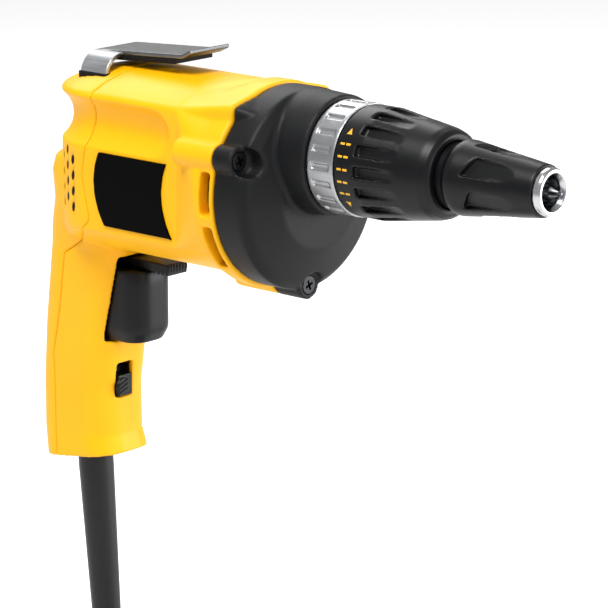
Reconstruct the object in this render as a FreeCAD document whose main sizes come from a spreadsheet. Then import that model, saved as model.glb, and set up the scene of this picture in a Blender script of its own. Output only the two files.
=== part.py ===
import FreeCAD, Part
import Sketcher
import math
import os
from types import SimpleNamespace

# Corded drywall screwdriver.
# X runs forward to the nose, Y to the tool's left, Z up. The origin is the middle of the hand grip.

os.makedirs("parts", exist_ok=True)
doc = FreeCAD.newDocument("drywall_screwdriver")
Vec = FreeCAD.Vector

# Driving dimensions, millimetres unless the name says teeth, turns, count or angle
SIZES = {
    # axes and common fits
    "motor_height": 80.0, "gear_module": 0.8, "pinion_teeth": 7, "gear_teeth": 34,
    "tail_overhang": 1.0, "overrun": 2.0, "running_gap": 0.05, "moving_gap": 0.4,
    # motor housing
    "rim_radius": 42.0, "rim_lip": 1.0, "barrel_length": 114.0, "barrel_half_width": 33.5,
    "roof_rise": 41.3, "belly_drop": 42.0, "belly_corner": 18.0, "roof_crown": 68.0, "roof_lip": 3.0,
    "belly_lift": 2.6, "belly_crown": 48.0, "belly_spread": 10.0, "rim_crown": 105.0,
    "rim_roof_half_width": 30.5, "roof_inset": 0.4,
    "motor_bore": 30.5, "tail_bore": 18.0, "tail_wall": 8.0,
    "rim_band": 10.0, "flare_length": 18.4, "bearing_bore": 36.5, "bearing_seat_depth": 14.0,
    "scoop_radius": 13.0, "scoop_depth": 5.0, "scoop_height": 20.5, "scoop_length": 72.0,
    # grip
    "grip_top": 62.0, "grip_bottom": 66.0, "grip_depth": 43.8, "grip_half_width": 16.5,
    "grip_wall": 2.6, "butt_rear_drop": 62.0, "butt_front_drop": 49.0,
    "trigger_slot_half_width": 12.6, "trigger_slot_bottom": 0.8,
    # outlet slots and bosses
    "outlet_width": 5.4, "outlet_height": 18.0, "outlet_set_back": 1.6,
    "boss_circle": 40.5, "boss_radius": 6.0, "boss_rear_length": 22.0, "boss_front_length": 10.6,
    "case_screw_radius": 2.0, "case_head_radius": 3.8, "case_head_length": 3.0,
    "case_screw_length": 24.0, "thread_gap": 0.02,
    "cover_boss_radius": 4.0, "cover_screw_radius": 1.6, "cover_head_radius": 3.0,
    "cover_head_length": 2.2, "cover_screw_length": 16.0,
    "cover_screw_rise": 6.0, "cover_screw_low": 28.0,
    # nameplates
    "plate_length": 40.8, "plate_height": 33.4, "plate_thickness": 0.8, "plate_gap": 0.4,
    "plate_drop": 6.8, "plate_bow": 3.5,
    # motor
    "bearing_width": 6.0, "bearing_radius": 8.0, "journal_radius": 3.0,
    "shaft_radius": 4.0, "commutator_inset": 13.0, "commutator_length": 12.0, "commutator_radius": 11.0,
    "brush_size": 6.0, "brush_length": 14.0, "brush_gap": 0.3, "holder_wall": 1.2, "holder_inset": 3.0,
    "core_gap": 4.0, "core_fan_gap": 11.0, "core_radius": 18.0, "air_gap": 0.6, "stator_gap": 0.2,
    "winding_rear": 3.4, "winding_front": 8.0, "winding_radius": 15.5,
    "coil_rear": 3.0, "coil_front": 7.0, "coil_inner": 20.5, "coil_outer": 29.0,
    "fan_set_back": 16.0, "fan_disc": 1.5, "fan_hub": 8.0, "fan_radius": 27.0, "fan_depth": 8.5,
    "fan_blade": 1.6, "fan_blades": 9, "fan_hub_length": 9.0,
    "web_depth": 10.0, "web_gap": 0.2, "gear_bush_radius": 6.5, "stub_radius": 4.0,
    # gears, clutch and spindle
    "pinion_gap": 2.0, "gear_gap": 3.0, "gear_width": 9.0, "pinion_extra": 2.0,
    "tail_radius": 2.5, "jaw_height": 3.0, "jaw_inner": 7.5, "jaw_outer": 11.5, "jaw_count": 3,
    "jaw_gap": 0.5, "press_travel": 3.2, "flange_radius": 12.0, "flange_length": 4.5,
    "spring_wire": 0.5, "clutch_coil_radius": 5.0, "clutch_turns": 3, "spring_end_gap": 0.15,
    "spindle_radius": 6.5, "spindle_length": 50.0, "spindle_bush_radius": 9.5, "spindle_bush_length": 14.0,
    "hex_across": 6.35, "hex_corner_gap": 0.06, "holder_shank": 15.0, "holder_radius": 5.2,
    "holder_set_back": 9.9, "socket_depth": 18.0, "bit_length": 35.0, "bit_neck_radius": 2.5,
    "bit_neck": 7.0, "bit_taper": 4.6, "bit_point_radius": 0.7, "bit_flute_half": 0.75,
    "bit_flute_length": 7.0, "bit_flutes": 4, "bit_core": 0.45,
    # gear case
    "case_band": 14.0, "case_chamfer": 3.0, "dome_depth": 8.0, "dome_radius": 24.0, "case_roof_fall": 5.0,
    "neck_radius": 25.5, "neck_length": 33.5, "neck_taper": 0.6, "chamber_radius": 15.6,
    "pinion_room": 6.0, "snout_radius": 18.0, "snout_bore": 8.0, "snout_length": 31.4,
    # depth setting
    "ring_length": 13.6, "ring_radius": 23.3, "ring_pads": 20, "ring_notch": 2.4, "ring_notch_depth": 0.9,
    "ring_notch_inset": 2.2, "collar_length": 43.8, "collar_radius": 22.9, "collar_gap": 0.4,
    "collar_straight": 12.0, "collar_front_radius": 18.8, "collar_lip_radius": 16.2, "collar_lip": 1.6,
    "flute_count": 16, "flute_width": 4.6, "flute_length": 22.0, "flute_depth": 2.6, "flute_inset": 9.5,
    "sleeve_radius": 13.3, "sleeve_gap": 0.4, "snout_gap": 1.4, "nose_travel": 3.0,
    "nose_bore": 9.0, "nose_length": 41.8, "nose_shoulder_radius": 15.2, "nose_shoulder": 2.2,
    "nose_tip_radius": 10.5, "nose_flutes": 4, "nose_flute_width": 7.0, "nose_flute_plane": 11.7,
    "nose_flute_start": 9.0, "locator_radius": 9.6, "locator_rim": 3.6, "locator_bore": 6.5,
    "locator_sleeve": 11.0, "locator_sleeve_radius": 8.0, "locator_chamfer": 1.2,
    # trigger, lever, lock and switch
    "trigger_front": 41.2, "trigger_stop_gap": 1.0, "trigger_half_width": 12.1, "trigger_drop": 5.4,
    "trigger_bottom": 0.1, "trigger_corner": 9.0, "trigger_travel": 7.0,
    "pocket_radius": 4.4, "pocket_depth": 14.0, "trigger_coil_radius": 3.2, "trigger_wire": 0.5,
    "trigger_turns": 8, "switch_front": 6.0, "switch_depth": 12.0, "switch_half_width": 13.0,
    "switch_bottom": 6.0, "lever_gap": 0.5, "lever_thickness": 4.0, "pivot_radius": 2.5,
    "lever_tip": 53.0, "lever_tail": 5.0, "lever_half_width": 5.0, "lever_tab_half_width": 6.2,
    "lever_tab_length": 9.5, "lever_rib": 1.2, "lever_rib_depth": 1.0, "lever_ribs": 4,
    "lock_y": -2.0, "lock_half_width": 4.1, "lock_side_gap": 0.5, "lock_top": 17.0, "lock_bottom": 26.5,
    "lock_travel": 5.0, "lock_end_gap": 0.6, "lock_proud": 0.8, "lock_flange": 2.4, "lock_flange_inset": 2.2,
    "lock_flange_depth": 2.8,
    # belt hook
    "hook_thickness": 1.8, "hook_inset": 17.5, "hook_leg_length": 15.0, "hook_leg_y": 20.0,
    "hook_far_y": 14.0, "hook_bend": 10.0, "hook_length": 54.5, "hook_lip": 5.0, "hook_lip_rise": 2.4,
    "hook_clear": 3.6, "hook_rise": 3.0, "hook_tang": 5.0, "hook_slot_gap": 0.3,
    "liner_thickness": 2.4, "liner_set_back": 8.6, "liner_edge": 1.0,
    # cord
    "cord_radius": 4.0, "boot_length": 97.0, "boot_radius": 7.8, "boot_tip_radius": 6.3,
    "boot_flange": 2.6, "boot_flange_radius": 10.0, "boot_hole_gap": 0.3, "boot_straight": 21.4,
    "boot_seat_gap": 0.9, "boot_x": 0.94, "lead_x": 7.0,
    "lead_radius": 3.0, "clamp_height": 5.0, "clamp_depth": 18.0, "clamp_half_width": 13.4,
    "clamp_lift": 3.4,
    "coil_radius": 62.0, "coil_pitch": 8.8, "coil_layer": 8.6, "coil_turns": 3.5,
    "tie_width": 8.0, "tie_thickness": 1.2, "tie_gap": 0.6,
    "plug_neck_radius": 5.6, "plug_neck": 12.0, "plug_length": 30.0, "plug_half_width": 14.0,
    "plug_half_height": 12.0, "plug_corner": 5.0, "pin_length": 17.0, "pin_thickness": 1.5,
    "pin_height": 6.3, "pin_spacing": 12.7,
}

sheet = doc.addObject("Spreadsheet::Sheet", "Sizes")
for row, (alias, amount) in enumerate(SIZES.items(), start=1):
    sheet.set("A%d" % row, alias)
    sheet.set("B%d" % row, str(amount))
    sheet.setAlias("B%d" % row, alias)
doc.recompute()


class Size:
    """A number read from the sheet, kept together with the expression that gives it."""

    def __init__(self, value, text):
        self.value = value
        self.text = text

    def joined(self, other, sign, value):
        return Size(value, "(%s %s %s)" % (self.text, sign, other.text))

    def __add__(self, other):
        other = sized(other)
        return self.joined(other, "+", self.value + other.value)

    def __sub__(self, other):
        other = sized(other)
        return self.joined(other, "-", self.value - other.value)

    def __mul__(self, other):
        other = sized(other)
        return self.joined(other, "*", self.value * other.value)

    def __truediv__(self, other):
        other = sized(other)
        return self.joined(other, "/", self.value / other.value)

    def __radd__(self, other):
        return sized(other) + self

    def __rsub__(self, other):
        return sized(other) - self

    def __rmul__(self, other):
        return sized(other) * self

    def __neg__(self):
        return sized(0) - self


def sized(amount):
    """A plain number as a Size; a Size stays as it is."""
    return amount if isinstance(amount, Size) else Size(float(amount), repr(float(amount)))


S = SimpleNamespace(**{alias: Size(float(sheet.get(alias)), "Sizes." + alias) for alias in SIZES})


def bind(target, path, size):
    """Tie one property of an object to its expression."""
    target.setExpression(path, sized(size).text)


def place(target, x=0, y=0, z=0):
    """Tie the place of an object, leaving zero coordinates alone."""
    for axis, size in zip("xyz", (x, y, z)):
        if isinstance(size, Size):
            bind(target, "Placement.Base." + axis, size)
    return target


def new_body(label):
    body = doc.addObject("PartDesign::Body", label)
    body.Label = label
    return body


def sketch_on(body, role, offset=None):
    """Empty sketch on one of the body's own origin planes, moved along its normal by offset."""
    sketch = body.newObject("Sketcher::SketchObject", body.Name + "_sketch")
    base_plane = next(f for f in body.Origin.OriginFeatures if f.Role == role)
    sketch.AttachmentSupport = (base_plane, [""])
    sketch.MapMode = "FlatFace"
    if offset is not None:
        bind(sketch, "AttachmentOffset.Base.z", offset)
    return sketch


def tie_point(sketch, geometry, end, x, y):
    """Tie one end of a sketch line to a pair of sizes measured from the sketch origin."""
    for kind, size in (("DistanceX", sized(x)), ("DistanceY", sized(y))):
        index = sketch.addConstraint(Sketcher.Constraint(kind, -1, 1, geometry, end, size.value))
        bind(sketch, "Constraints[%d]" % index, size)


def polygon(sketch, points):
    """Closed outline whose corners are all tied to sizes."""
    corners = [Vec(sized(x).value, sized(y).value, 0) for x, y in points]
    first = sketch.GeometryCount
    count = len(corners)
    for i in range(count):
        sketch.addGeometry(Part.LineSegment(corners[i], corners[(i + 1) % count]))
    for i in range(count):
        following = first + (i + 1) % count
        sketch.addConstraint(Sketcher.Constraint("Coincident", first + i, 2, following, 1))
    for i, (x, y) in enumerate(points):
        tie_point(sketch, first + i, 1, x, y)


def rounded(sketch, x_low, x_high, y_low, y_high, radius):
    """Rounded rectangle: four lines and four equal tangent arcs, tied to five sizes."""
    left, right, low, high, r = (sized(v).value for v in (x_low, x_high, y_low, y_high, radius))
    quarter = math.pi / 2
    ends = [(left + r, low), (right - r, low), (right, low + r), (right, high - r),
            (right - r, high), (left + r, high), (left, high - r), (left, low + r)]
    middles = [(right - r, low + r), (right - r, high - r), (left + r, high - r), (left + r, low + r)]
    for side in range(4):
        start = Vec(*ends[2 * side], 0)
        stop = Vec(*ends[2 * side + 1], 0)
        sketch.addGeometry(Part.LineSegment(start, stop))
        bow = Part.Circle(Vec(*middles[side], 0), Vec(0, 0, 1), r)
        sketch.addGeometry(Part.ArcOfCircle(bow, (side - 1) * quarter, side * quarter))
    for i in range(8):
        sketch.addConstraint(Sketcher.Constraint("Tangent", i, 2, (i + 1) % 8, 1))
    for i, kind in ((0, "Horizontal"), (2, "Vertical"), (4, "Horizontal"), (6, "Vertical")):
        sketch.addConstraint(Sketcher.Constraint(kind, i))
    for i in (3, 5, 7):
        sketch.addConstraint(Sketcher.Constraint("Equal", 1, i))
    tied = sketch.addConstraint(Sketcher.Constraint("Radius", 1, r))
    bind(sketch, "Constraints[%d]" % tied, radius)
    for i, kind, size in ((0, "DistanceY", y_low), (2, "DistanceX", x_high),
                          (4, "DistanceY", y_high), (6, "DistanceX", x_low)):
        tied = sketch.addConstraint(Sketcher.Constraint(kind, -1, 1, i, 1, sized(size).value))
        bind(sketch, "Constraints[%d]" % tied, size)


def turn(body, profile, angle=360):
    """Add a solid of revolution about the body's X axis; the profile is (x, radius) pairs."""
    sketch = sketch_on(body, "XZ_Plane")
    polygon(sketch, profile)
    feature = body.newObject("PartDesign::Revolution", body.Name + "_turn")
    feature.Profile = sketch
    feature.ReferenceAxis = (sketch, ["H_Axis"])
    feature.Angle = angle
    return feature


def turned(label, profile, height=0):
    """A body turned about the X direction at a height."""
    body = new_body(label)
    turn(body, profile)
    return place(body, z=height)


def pad(body, sketch, length, symmetric=False):
    feature = body.newObject("PartDesign::Pad", body.Name + "_pad")
    feature.Profile = sketch
    bind(feature, "Length", length)
    if symmetric:
        feature.SideType = "Symmetric"
    return feature


def padded(label, role, points, length, offset=None, symmetric=False):
    """A body made by padding one polygon drawn on an origin plane."""
    body = new_body(label)
    sketch = sketch_on(body, role, offset)
    polygon(sketch, points)
    pad(body, sketch, length, symmetric)
    return body


def lofted(label, role, sections):
    """A body ruled through rounded rectangles: (offset, x_low, x_high, y_low, y_high, radius) each."""
    body = new_body(label)
    sketches = []
    for offset, *edges in sections:
        sketch = sketch_on(body, role, offset)
        rounded(sketch, *edges)
        sketches.append(sketch)
    return ruled(body, sketches)


def ruled(body, sketches):
    """Rule a body through its sketches."""
    loft = body.newObject("PartDesign::AdditiveLoft", body.Name + "_loft")
    loft.Profile = sketches[0]
    loft.Sections = sketches[1:]
    loft.Ruled = True
    return body


def box(label, x_low, x_high, y_low, y_high, z_low, z_high):
    block = doc.addObject("Part::Box", label)
    block.Label = label
    for name, low, high in (("Length", x_low, x_high), ("Width", y_low, y_high), ("Height", z_low, z_high)):
        bind(block, name, sized(high) - low)
    return place(block, sized(x_low), sized(y_low), sized(z_low))


def rod(label, radius, length, x=0, y=0, z=0, axis="x"):
    """A cylinder that starts at a point and runs along one axis."""
    bar = doc.addObject("Part::Cylinder", label)
    bar.Label = label
    bind(bar, "Radius", radius)
    bind(bar, "Height", length)
    turns = {"x": (Vec(0, 1, 0), 90), "y": (Vec(1, 0, 0), -90), "z": (Vec(0, 0, 1), 0)}
    bar.Placement = FreeCAD.Placement(Vec(), FreeCAD.Rotation(*turns[axis]))
    return place(bar, sized(x), sized(y), sized(z))


def fuse(label, *shapes):
    joined = doc.addObject("Part::MultiFuse", label)
    joined.Label = label
    joined.Shapes = list(shapes)
    return joined


def cut(label, base, *tools):
    """A shape with one or more tools taken away."""
    tool = tools[0] if len(tools) == 1 else fuse(label + "_tools", *tools)
    left = doc.addObject("Part::Cut", label)
    left.Label = label
    left.Base = base
    left.Tool = tool
    return left


def common(label, base, tool):
    kept = doc.addObject("Part::Common", label)
    kept.Label = label
    kept.Base = base
    kept.Tool = tool
    return kept


nodes = {}


def keep(label, shape):
    """Name a finished piece of the tool."""
    shape.Label = label
    nodes[label] = shape
    return shape


# Shared places
spindle_height = S.motor_height + S.gear_module * (S.pinion_teeth + S.gear_teeth) / 2
tail_x = -S.tail_overhang
rim_x = tail_x + S.barrel_length
belly_z = S.motor_height - S.belly_drop
trigger_top = belly_z - S.trigger_drop
lip_radius = S.rim_radius + S.rim_lip
flare_x = rim_x - S.rim_band - S.flare_length
band_x = rim_x - S.rim_band
roof_top = S.motor_height + S.roof_rise
round_x = tail_x + S.barrel_half_width


def crowned(sketch, half, low, high, corner, crown, lip, halved=False):
    """Barrel section: flat belly, round corners, upright sides, tight lips and an arched roof.

    The halved one stops at the upright middle line, to be turned about it.
    """
    wide, base, top, r, arch, f = (sized(v).value for v in (half, low, high, corner, crown, lip))
    middle = top - arch
    lift = math.sqrt((arch - f) ** 2 - (wide - f) ** 2)
    lean = math.atan2(lift, wide - f)
    quarter = math.pi / 2

    def line(x_1, y_1, x_2, y_2):
        sketch.addGeometry(Part.LineSegment(Vec(x_1, y_1, 0), Vec(x_2, y_2, 0)))

    def arc(x, y, radius, first, last):
        bow = Part.Circle(Vec(x, y, 0), Vec(0, 0, 1), radius)
        sketch.addGeometry(Part.ArcOfCircle(bow, first, last))

    line(0 if halved else r - wide, base, wide - r, base)
    arc(wide - r, base + r, r, -quarter, 0)
    line(wide, base + r, wide, middle + lift)
    arc(wide - f, middle + lift, f, 0, lean)
    arc(0, middle, arch, lean, quarter if halved else math.pi - lean)
    if halved:
        line(0, top, 0, base)
        joints = [("Tangent", i, i + 1) for i in range(4)] + [("Coincident", 4, 5), ("Coincident", 5, 0)]
    else:
        arc(f - wide, middle + lift, f, math.pi - lean, math.pi)
        line(-wide, middle + lift, -wide, base + r)
        arc(r - wide, base + r, r, math.pi, 3 * quarter)
        joints = [("Tangent", i, (i + 1) % 8) for i in range(8)]
    for kind, first, following in joints:
        sketch.addConstraint(Sketcher.Constraint(kind, first, 2, following, 1))
    sketch.addConstraint(Sketcher.Constraint("Horizontal", 0))
    sketch.addConstraint(Sketcher.Constraint("Vertical", 2))
    sketch.addConstraint(Sketcher.Constraint("PointOnObject", 4, 3, -2))
    tied = [("Radius", (1,), corner), ("Radius", (3,), lip), ("Radius", (4,), crown),
            ("DistanceY", (-1, 1, 4, 3), high - crown), ("DistanceX", (-1, 1, 2, 1), half),
            ("DistanceY", (-1, 1, 0, 1), low)]
    if halved:
        sketch.addConstraint(Sketcher.Constraint("Vertical", 5))
        sketch.addConstraint(Sketcher.Constraint("PointOnObject", 5, 1, -2))
    else:
        sketch.addConstraint(Sketcher.Constraint("Vertical", 6))
        sketch.addConstraint(Sketcher.Constraint("Equal", 1, 7))
        sketch.addConstraint(Sketcher.Constraint("Equal", 3, 5))
        tied.append(("DistanceX", (-1, 1, 6, 1), -half))
    for kind, ends, size in tied:
        index = sketch.addConstraint(Sketcher.Constraint(kind, *ends, sized(size).value))
        bind(sketch, "Constraints[%d]" % index, size)


def crowned_on(body, x, half, low, high, crown):
    """A barrel section across the X axis at a place along it."""
    sketch = sketch_on(body, "YZ_Plane", x)
    crowned(sketch, half, low, high, S.belly_corner, crown, S.roof_lip)
    return sketch


def barrel():
    """Straight flanks from the round end forward, then the flare to the rim."""
    body = new_body("barrel")
    sketches = [crowned_on(body, x, S.barrel_half_width, belly_z, roof_top, S.roof_crown)
                for x in (round_x, flare_x)]
    for x in (band_x, rim_x):
        sketch = sketch_on(body, "YZ_Plane", x)
        rounded(sketch, -lip_radius, lip_radius, S.motor_height - lip_radius, S.motor_height + lip_radius,
                S.rim_radius)
        sketches.append(sketch)
    return ruled(body, sketches)


def round_end():
    """Rear of the barrel, half turned about an upright axis."""
    body = new_body("round_end")
    sketch = sketch_on(body, "YZ_Plane")
    crowned(sketch, S.barrel_half_width, belly_z, roof_top, S.belly_corner, S.roof_crown, S.roof_lip, True)
    feature = body.newObject("PartDesign::Revolution", "round_end_turn")
    feature.Profile = sketch
    feature.ReferenceAxis = (sketch, ["V_Axis"])
    feature.Angle = 180
    return place(body, x=round_x)


def roof():
    """Roof carried straight on over the flare, so that its lips reach the rim as corners."""
    body = new_body("roof")
    inset = S.roof_inset
    rear = crowned_on(body, flare_x, S.barrel_half_width - inset, S.motor_height, roof_top - inset,
                      S.roof_crown)
    return ruled(body, [rear, crowned_on(body, rim_x, S.rim_roof_half_width, S.motor_height, roof_top,
                                         S.rim_crown)])


def case_roof():
    """The same roof on the gear case, falling away to its dome."""
    body = new_body("case_roof")
    sketches = []
    for x, fall in ((rim_x, S.rim_lip), (rim_x + S.case_band, S.rim_lip + S.case_roof_fall)):
        sketches.append(crowned_on(body, x, S.rim_roof_half_width - fall, S.motor_height, roof_top - fall,
                                   S.rim_crown))
    return ruled(body, sketches)


# Hand groove under the roof: rounding of its front ends, along and out, as shares of its radius
SCOOP_END_SHARES = [(0.38, 0.92), (0.71, 0.71), (0.92, 0.38), (1.0, 0.0)]


def belly_corners():
    """What comes off under the barrel to leave a round belly; it fades out along the flare."""
    start = tail_x - S.overrun
    profile = [(start, 0), (start, S.belly_crown), (band_x, S.belly_crown),
               (rim_x, S.belly_crown + S.belly_spread), (rim_x, 0)]
    core = turned("belly_core", profile, belly_z + S.belly_lift + S.belly_crown)
    wide = S.barrel_half_width + S.belly_corner
    under = box("belly_under", tail_x, rim_x - S.overrun, -wide, wide, belly_z - S.overrun,
                belly_z + S.belly_corner)
    return cut("belly_corners", under, core)


def grooved_barrel():
    """Barrel with a round belly, and a hand groove that runs along both flanks and round the rear."""
    corners = belly_corners()
    reach = S.barrel_half_width + S.scoop_radius - S.scoop_depth
    height = S.motor_height + S.scoop_height
    end = tail_x + S.scoop_length
    profile = [(round_x - S.overrun, 0), (round_x - S.overrun, S.scoop_radius), (end, S.scoop_radius)]
    profile += [(end + S.scoop_radius * along, S.scoop_radius * out) for along, out in SCOOP_END_SHARES]
    grooves = []
    for name, side in (("left", 1), ("right", -1)):
        groove = turned("groove_" + name, profile, height)
        grooves.append(place(groove, y=reach * side))
    bend = doc.addObject("Part::Torus", "groove_bend")
    bind(bend, "Radius1", reach)
    bind(bend, "Radius2", S.scoop_radius)
    place(bend, round_x, 0, height)
    return [cut("flanks", barrel(), corners, *grooves), cut("grooved_end", round_end(), corners, bend)]


# Grip: height as a share of its top or bottom, rear and front of its depth, width and corner of half width
HUMP_SHARES = [
    (1.42, 0.13, 1.5, 1.75, 1.7),
    (1.3, -0.1, 1.0, 1.65, 1.3),
    (1.2, -0.15, 1.0, 1.65, 1.3),
    (1.0, -0.13, 0.95, 1.6, 1.25),
    (0.8, -0.19, 0.75, 1.36, 0.91),
]
GRIP_SHARES = [
    (0.645, -0.217, 0.73, 1.212, 0.73),
    (0.065, -0.377, 0.571, 1.061, 0.76),
    (-0.348, -0.45, 0.511, 1.0, 0.79),
    (-0.667, -0.45, 0.516, 1.0, 0.79),
    (-1.0, -0.385, 0.672, 1.05, 0.79),
]
CAVITY_TOP_SHARES = (1.05, -0.15, 0.685, 1.36, 0.73)
CAVITY_BOTTOM_SHARE = -0.68


def grip_level(share):
    return S.grip_top * share if share > 0 else S.grip_bottom * share


def grip_section(height, rear, front, wide, corner, wall):
    half = S.grip_half_width * wide - wall
    edges = (S.grip_depth * rear + wall, S.grip_depth * front - wall, -half, half)
    return (grip_level(height),) + edges + (S.grip_half_width * corner - wall,)


def grip():
    return lofted("grip", "XY_Plane", [grip_section(*shares, 0) for shares in HUMP_SHARES + GRIP_SHARES])


def grip_cavity():
    inner = [CAVITY_TOP_SHARES] + GRIP_SHARES[:3] + [(CAVITY_BOTTOM_SHARE,) + GRIP_SHARES[3][1:]]
    return lofted("grip_cavity", "XY_Plane", [grip_section(*shares, S.grip_wall) for shares in inner])


def butt_wedge():
    """All that lies under the sloping butt of the grip."""
    rear = -S.grip_depth
    front = S.grip_depth
    floor = -S.grip_bottom - S.grip_depth
    return padded("butt_wedge", "XZ_Plane", [
        (rear, -S.butt_rear_drop), (front, -S.butt_front_drop), (front, floor), (rear, floor),
    ], S.grip_depth * 2, symmetric=True)


# Screw bosses round the rim, as angles from the left side
BOSS_ANGLES = [24, 156, 270]
BOSS_FRONT_SHARES = [1.0, 1.0, 1.42]


def boss_places():
    for angle in BOSS_ANGLES:
        across = math.cos(math.radians(angle))
        up = math.sin(math.radians(angle))
        yield S.boss_circle * across, S.motor_height + S.boss_circle * up


def boss_fronts():
    """Front end of each boss on the gear case."""
    return [rim_x + S.boss_front_length * share for share in BOSS_FRONT_SHARES]


# Outlet slots behind the rim: heights of their middles as shares of the rim radius
OUTLET_SHARES = [0.04, -0.5]


def outlets():
    slots = []
    for number, share in enumerate(OUTLET_SHARES):
        middle = S.motor_height + S.rim_radius * share
        front = rim_x - S.outlet_set_back
        slots.append(box("outlet_%d" % number, front - S.outlet_width, front, -lip_radius - S.overrun,
                         lip_radius + S.overrun, middle - S.outlet_height / 2, middle + S.outlet_height / 2))
    return slots


# Cover screws: seat of the head as a share of the grip depth
COVER_SEATS = [("high", belly_z + S.cover_screw_rise, -0.14), ("low", -S.cover_screw_low, -0.39)]


def cover_screw(label, height, seat_share):
    seat = S.grip_depth * seat_share
    head = rod(label + "_head", S.cover_head_radius, S.cover_head_length, seat - S.cover_head_length,
               0, height)
    shank = rod(label + "_shank", S.cover_screw_radius, S.cover_screw_length, seat, 0, height)
    return fuse(label, head, shank)


def cover_screw_hole(label, height, seat_share):
    seat = S.grip_depth * seat_share
    back = seat - S.grip_depth
    head = rod(label + "_bore", S.cover_head_radius + S.thread_gap, S.grip_depth, back, 0, height)
    shank = rod(label + "_pilot", S.cover_screw_radius + S.thread_gap, S.cover_screw_length + S.overrun,
                seat - S.overrun, 0, height)
    return [head, shank]


# Parting line of the rear cover, from the roof down: shares of the grip depth, then of the heights
SEAM_BARREL_SHARES = [(0.847, 1.2), (0.847, 1.0), (0.716, 0.186), (0.672, -0.07), (0.768, -0.52),
                      (0.612, -0.69)]
SEAM_GRIP_SHARES = [(0.105, 0.608), (-0.005, 0.235), (-0.137, -0.136), (-0.137, -0.69), (-0.09, -1.1)]


def seam_points():
    points = [(S.grip_depth * x, S.motor_height + S.roof_rise * z)
              for x, z in SEAM_BARREL_SHARES]
    return points + [(S.grip_depth * x, grip_level(z)) for x, z in SEAM_GRIP_SHARES]


def seam_block():
    """Everything behind the parting line."""
    line = seam_points()
    back = tail_x - S.grip_depth
    return padded("seam_block", "XZ_Plane", line + [(back, line[-1][1]), (back, line[0][1])],
                  lip_radius * 4, symmetric=True)


def housing_shell(cuts):
    """The yellow moulding as one shell, before it is parted."""
    outer = cut("outer", fuse("outer_whole", *grooved_barrel(), roof(), grip()), butt_wedge())
    bosses = [rod("rim_boss_%d" % i, S.boss_radius, S.boss_rear_length, rim_x - S.boss_rear_length, y, z)
              for i, (y, z) in enumerate(boss_places())]
    full = fuse("bossed", outer, *bosses)
    motor_bore = rod("motor_bore", S.motor_bore, S.barrel_length, core_x - S.core_gap, 0, S.motor_height)
    tail_bore = rod("tail_bore", S.tail_bore, S.barrel_length, tail_x + S.tail_wall, 0, S.motor_height)
    pocket = S.brush_size / 2 + S.holder_wall + S.brush_gap
    middle = commutator_x + S.commutator_length / 2
    brush_pocket = box("brush_pocket", middle - pocket, middle + pocket, -S.motor_bore, S.motor_bore,
                       S.motor_height - pocket, S.motor_height + pocket)
    seat_bore = rod("seat_bore", S.bearing_bore, S.bearing_seat_depth + S.overrun,
                    rim_x - S.bearing_seat_depth, 0, S.motor_height)
    hollow = cut("hollow", full, motor_bore, tail_bore, brush_pocket, seat_bore, grip_cavity())
    posts = []
    for name, height, seat_share in COVER_SEATS:
        seat = S.grip_depth * seat_share
        length = S.cover_screw_length + S.overrun * 2
        posts.append(rod("post_" + name, S.cover_boss_radius, length, seat - S.overrun, 0, height))
        end = seat - S.overrun + length
        rib = box("rib_" + name, end - S.grip_wall, end, -lip_radius, lip_radius,
                  height - S.cover_boss_radius, height + S.cover_boss_radius)
        posts.append(common("rib_inside_" + name, rib, outer))
    posted = fuse("posted", hollow, *posts)
    screw_holes = [hole for name, height, share in COVER_SEATS
                   for hole in cover_screw_hole("cover_hole_" + name, height, share)]
    pilots = [rod("rim_pilot_%d" % i, S.case_screw_radius + S.thread_gap, S.case_screw_length,
                  rim_x - S.boss_rear_length + S.overrun, y, z) for i, (y, z) in enumerate(boss_places())]
    trigger_slot = box("trigger_slot", 0, S.grip_depth,
                       -S.trigger_slot_half_width, S.trigger_slot_half_width,
                       -S.trigger_slot_bottom, belly_z)
    return cut("shell", posted, trigger_slot, *outlets(), *screw_holes, *pilots, *cuts)


# Bowed ends of the nameplates, from the top down: height of the plate and its bow
PLATE_SHARES = [(0.5, 0.0), (0.3, -0.71), (0.1, -0.99), (-0.1, -0.82), (-0.3, -0.2), (-0.5, 0.86)]


def nameplate(label, side):
    """Bare plate on the flat flank of the barrel, its ends bowed like the rim."""
    body = new_body(label)
    sketch = sketch_on(body, "XZ_Plane", -S.barrel_half_width * side if side > 0 else S.barrel_half_width)
    middle = S.motor_height - S.plate_drop
    front = flare_x - S.plate_gap - S.plate_bow
    ends = [(front + S.plate_bow * bow, middle + S.plate_height * up) for up, bow in PLATE_SHARES]
    polygon(sketch, ends + [(x - S.plate_length, z) for x, z in reversed(ends)])
    feature = pad(body, sketch, S.plate_thickness)
    feature.Reversed = side > 0
    return keep(label, body)


def polar(body, feature, count):
    """Repeat a feature evenly about the body's X axis."""
    pattern = body.newObject("PartDesign::PolarPattern", body.Name + "_pattern")
    pattern.Originals = [feature]
    pattern.Axis = (next(f for f in body.Origin.OriginFeatures if f.Role == "X_Axis"), [""])
    pattern.Angle = 360
    bind(pattern, "Occurrences", count)
    body.Tip = pattern
    return pattern


def radial_pad(body, x, length, points, count):
    """Pads drawn across the X axis from x onwards, repeated about it: teeth, blades or jaws."""
    sketch = sketch_on(body, "YZ_Plane", x)
    polygon(sketch, points)
    return polar(body, pad(body, sketch, length), count)


def radial_pocket(body, points, radius, depth, count):
    """Pockets sunk from a plane at a radius, drawn as (x, across), repeated about the X axis."""
    sketch = sketch_on(body, "XY_Plane", radius)
    polygon(sketch, points)
    feature = body.newObject("PartDesign::Pocket", body.Name + "_pocket")
    feature.Profile = sketch
    bind(feature, "Length", depth)
    return polar(body, feature, count)


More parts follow.
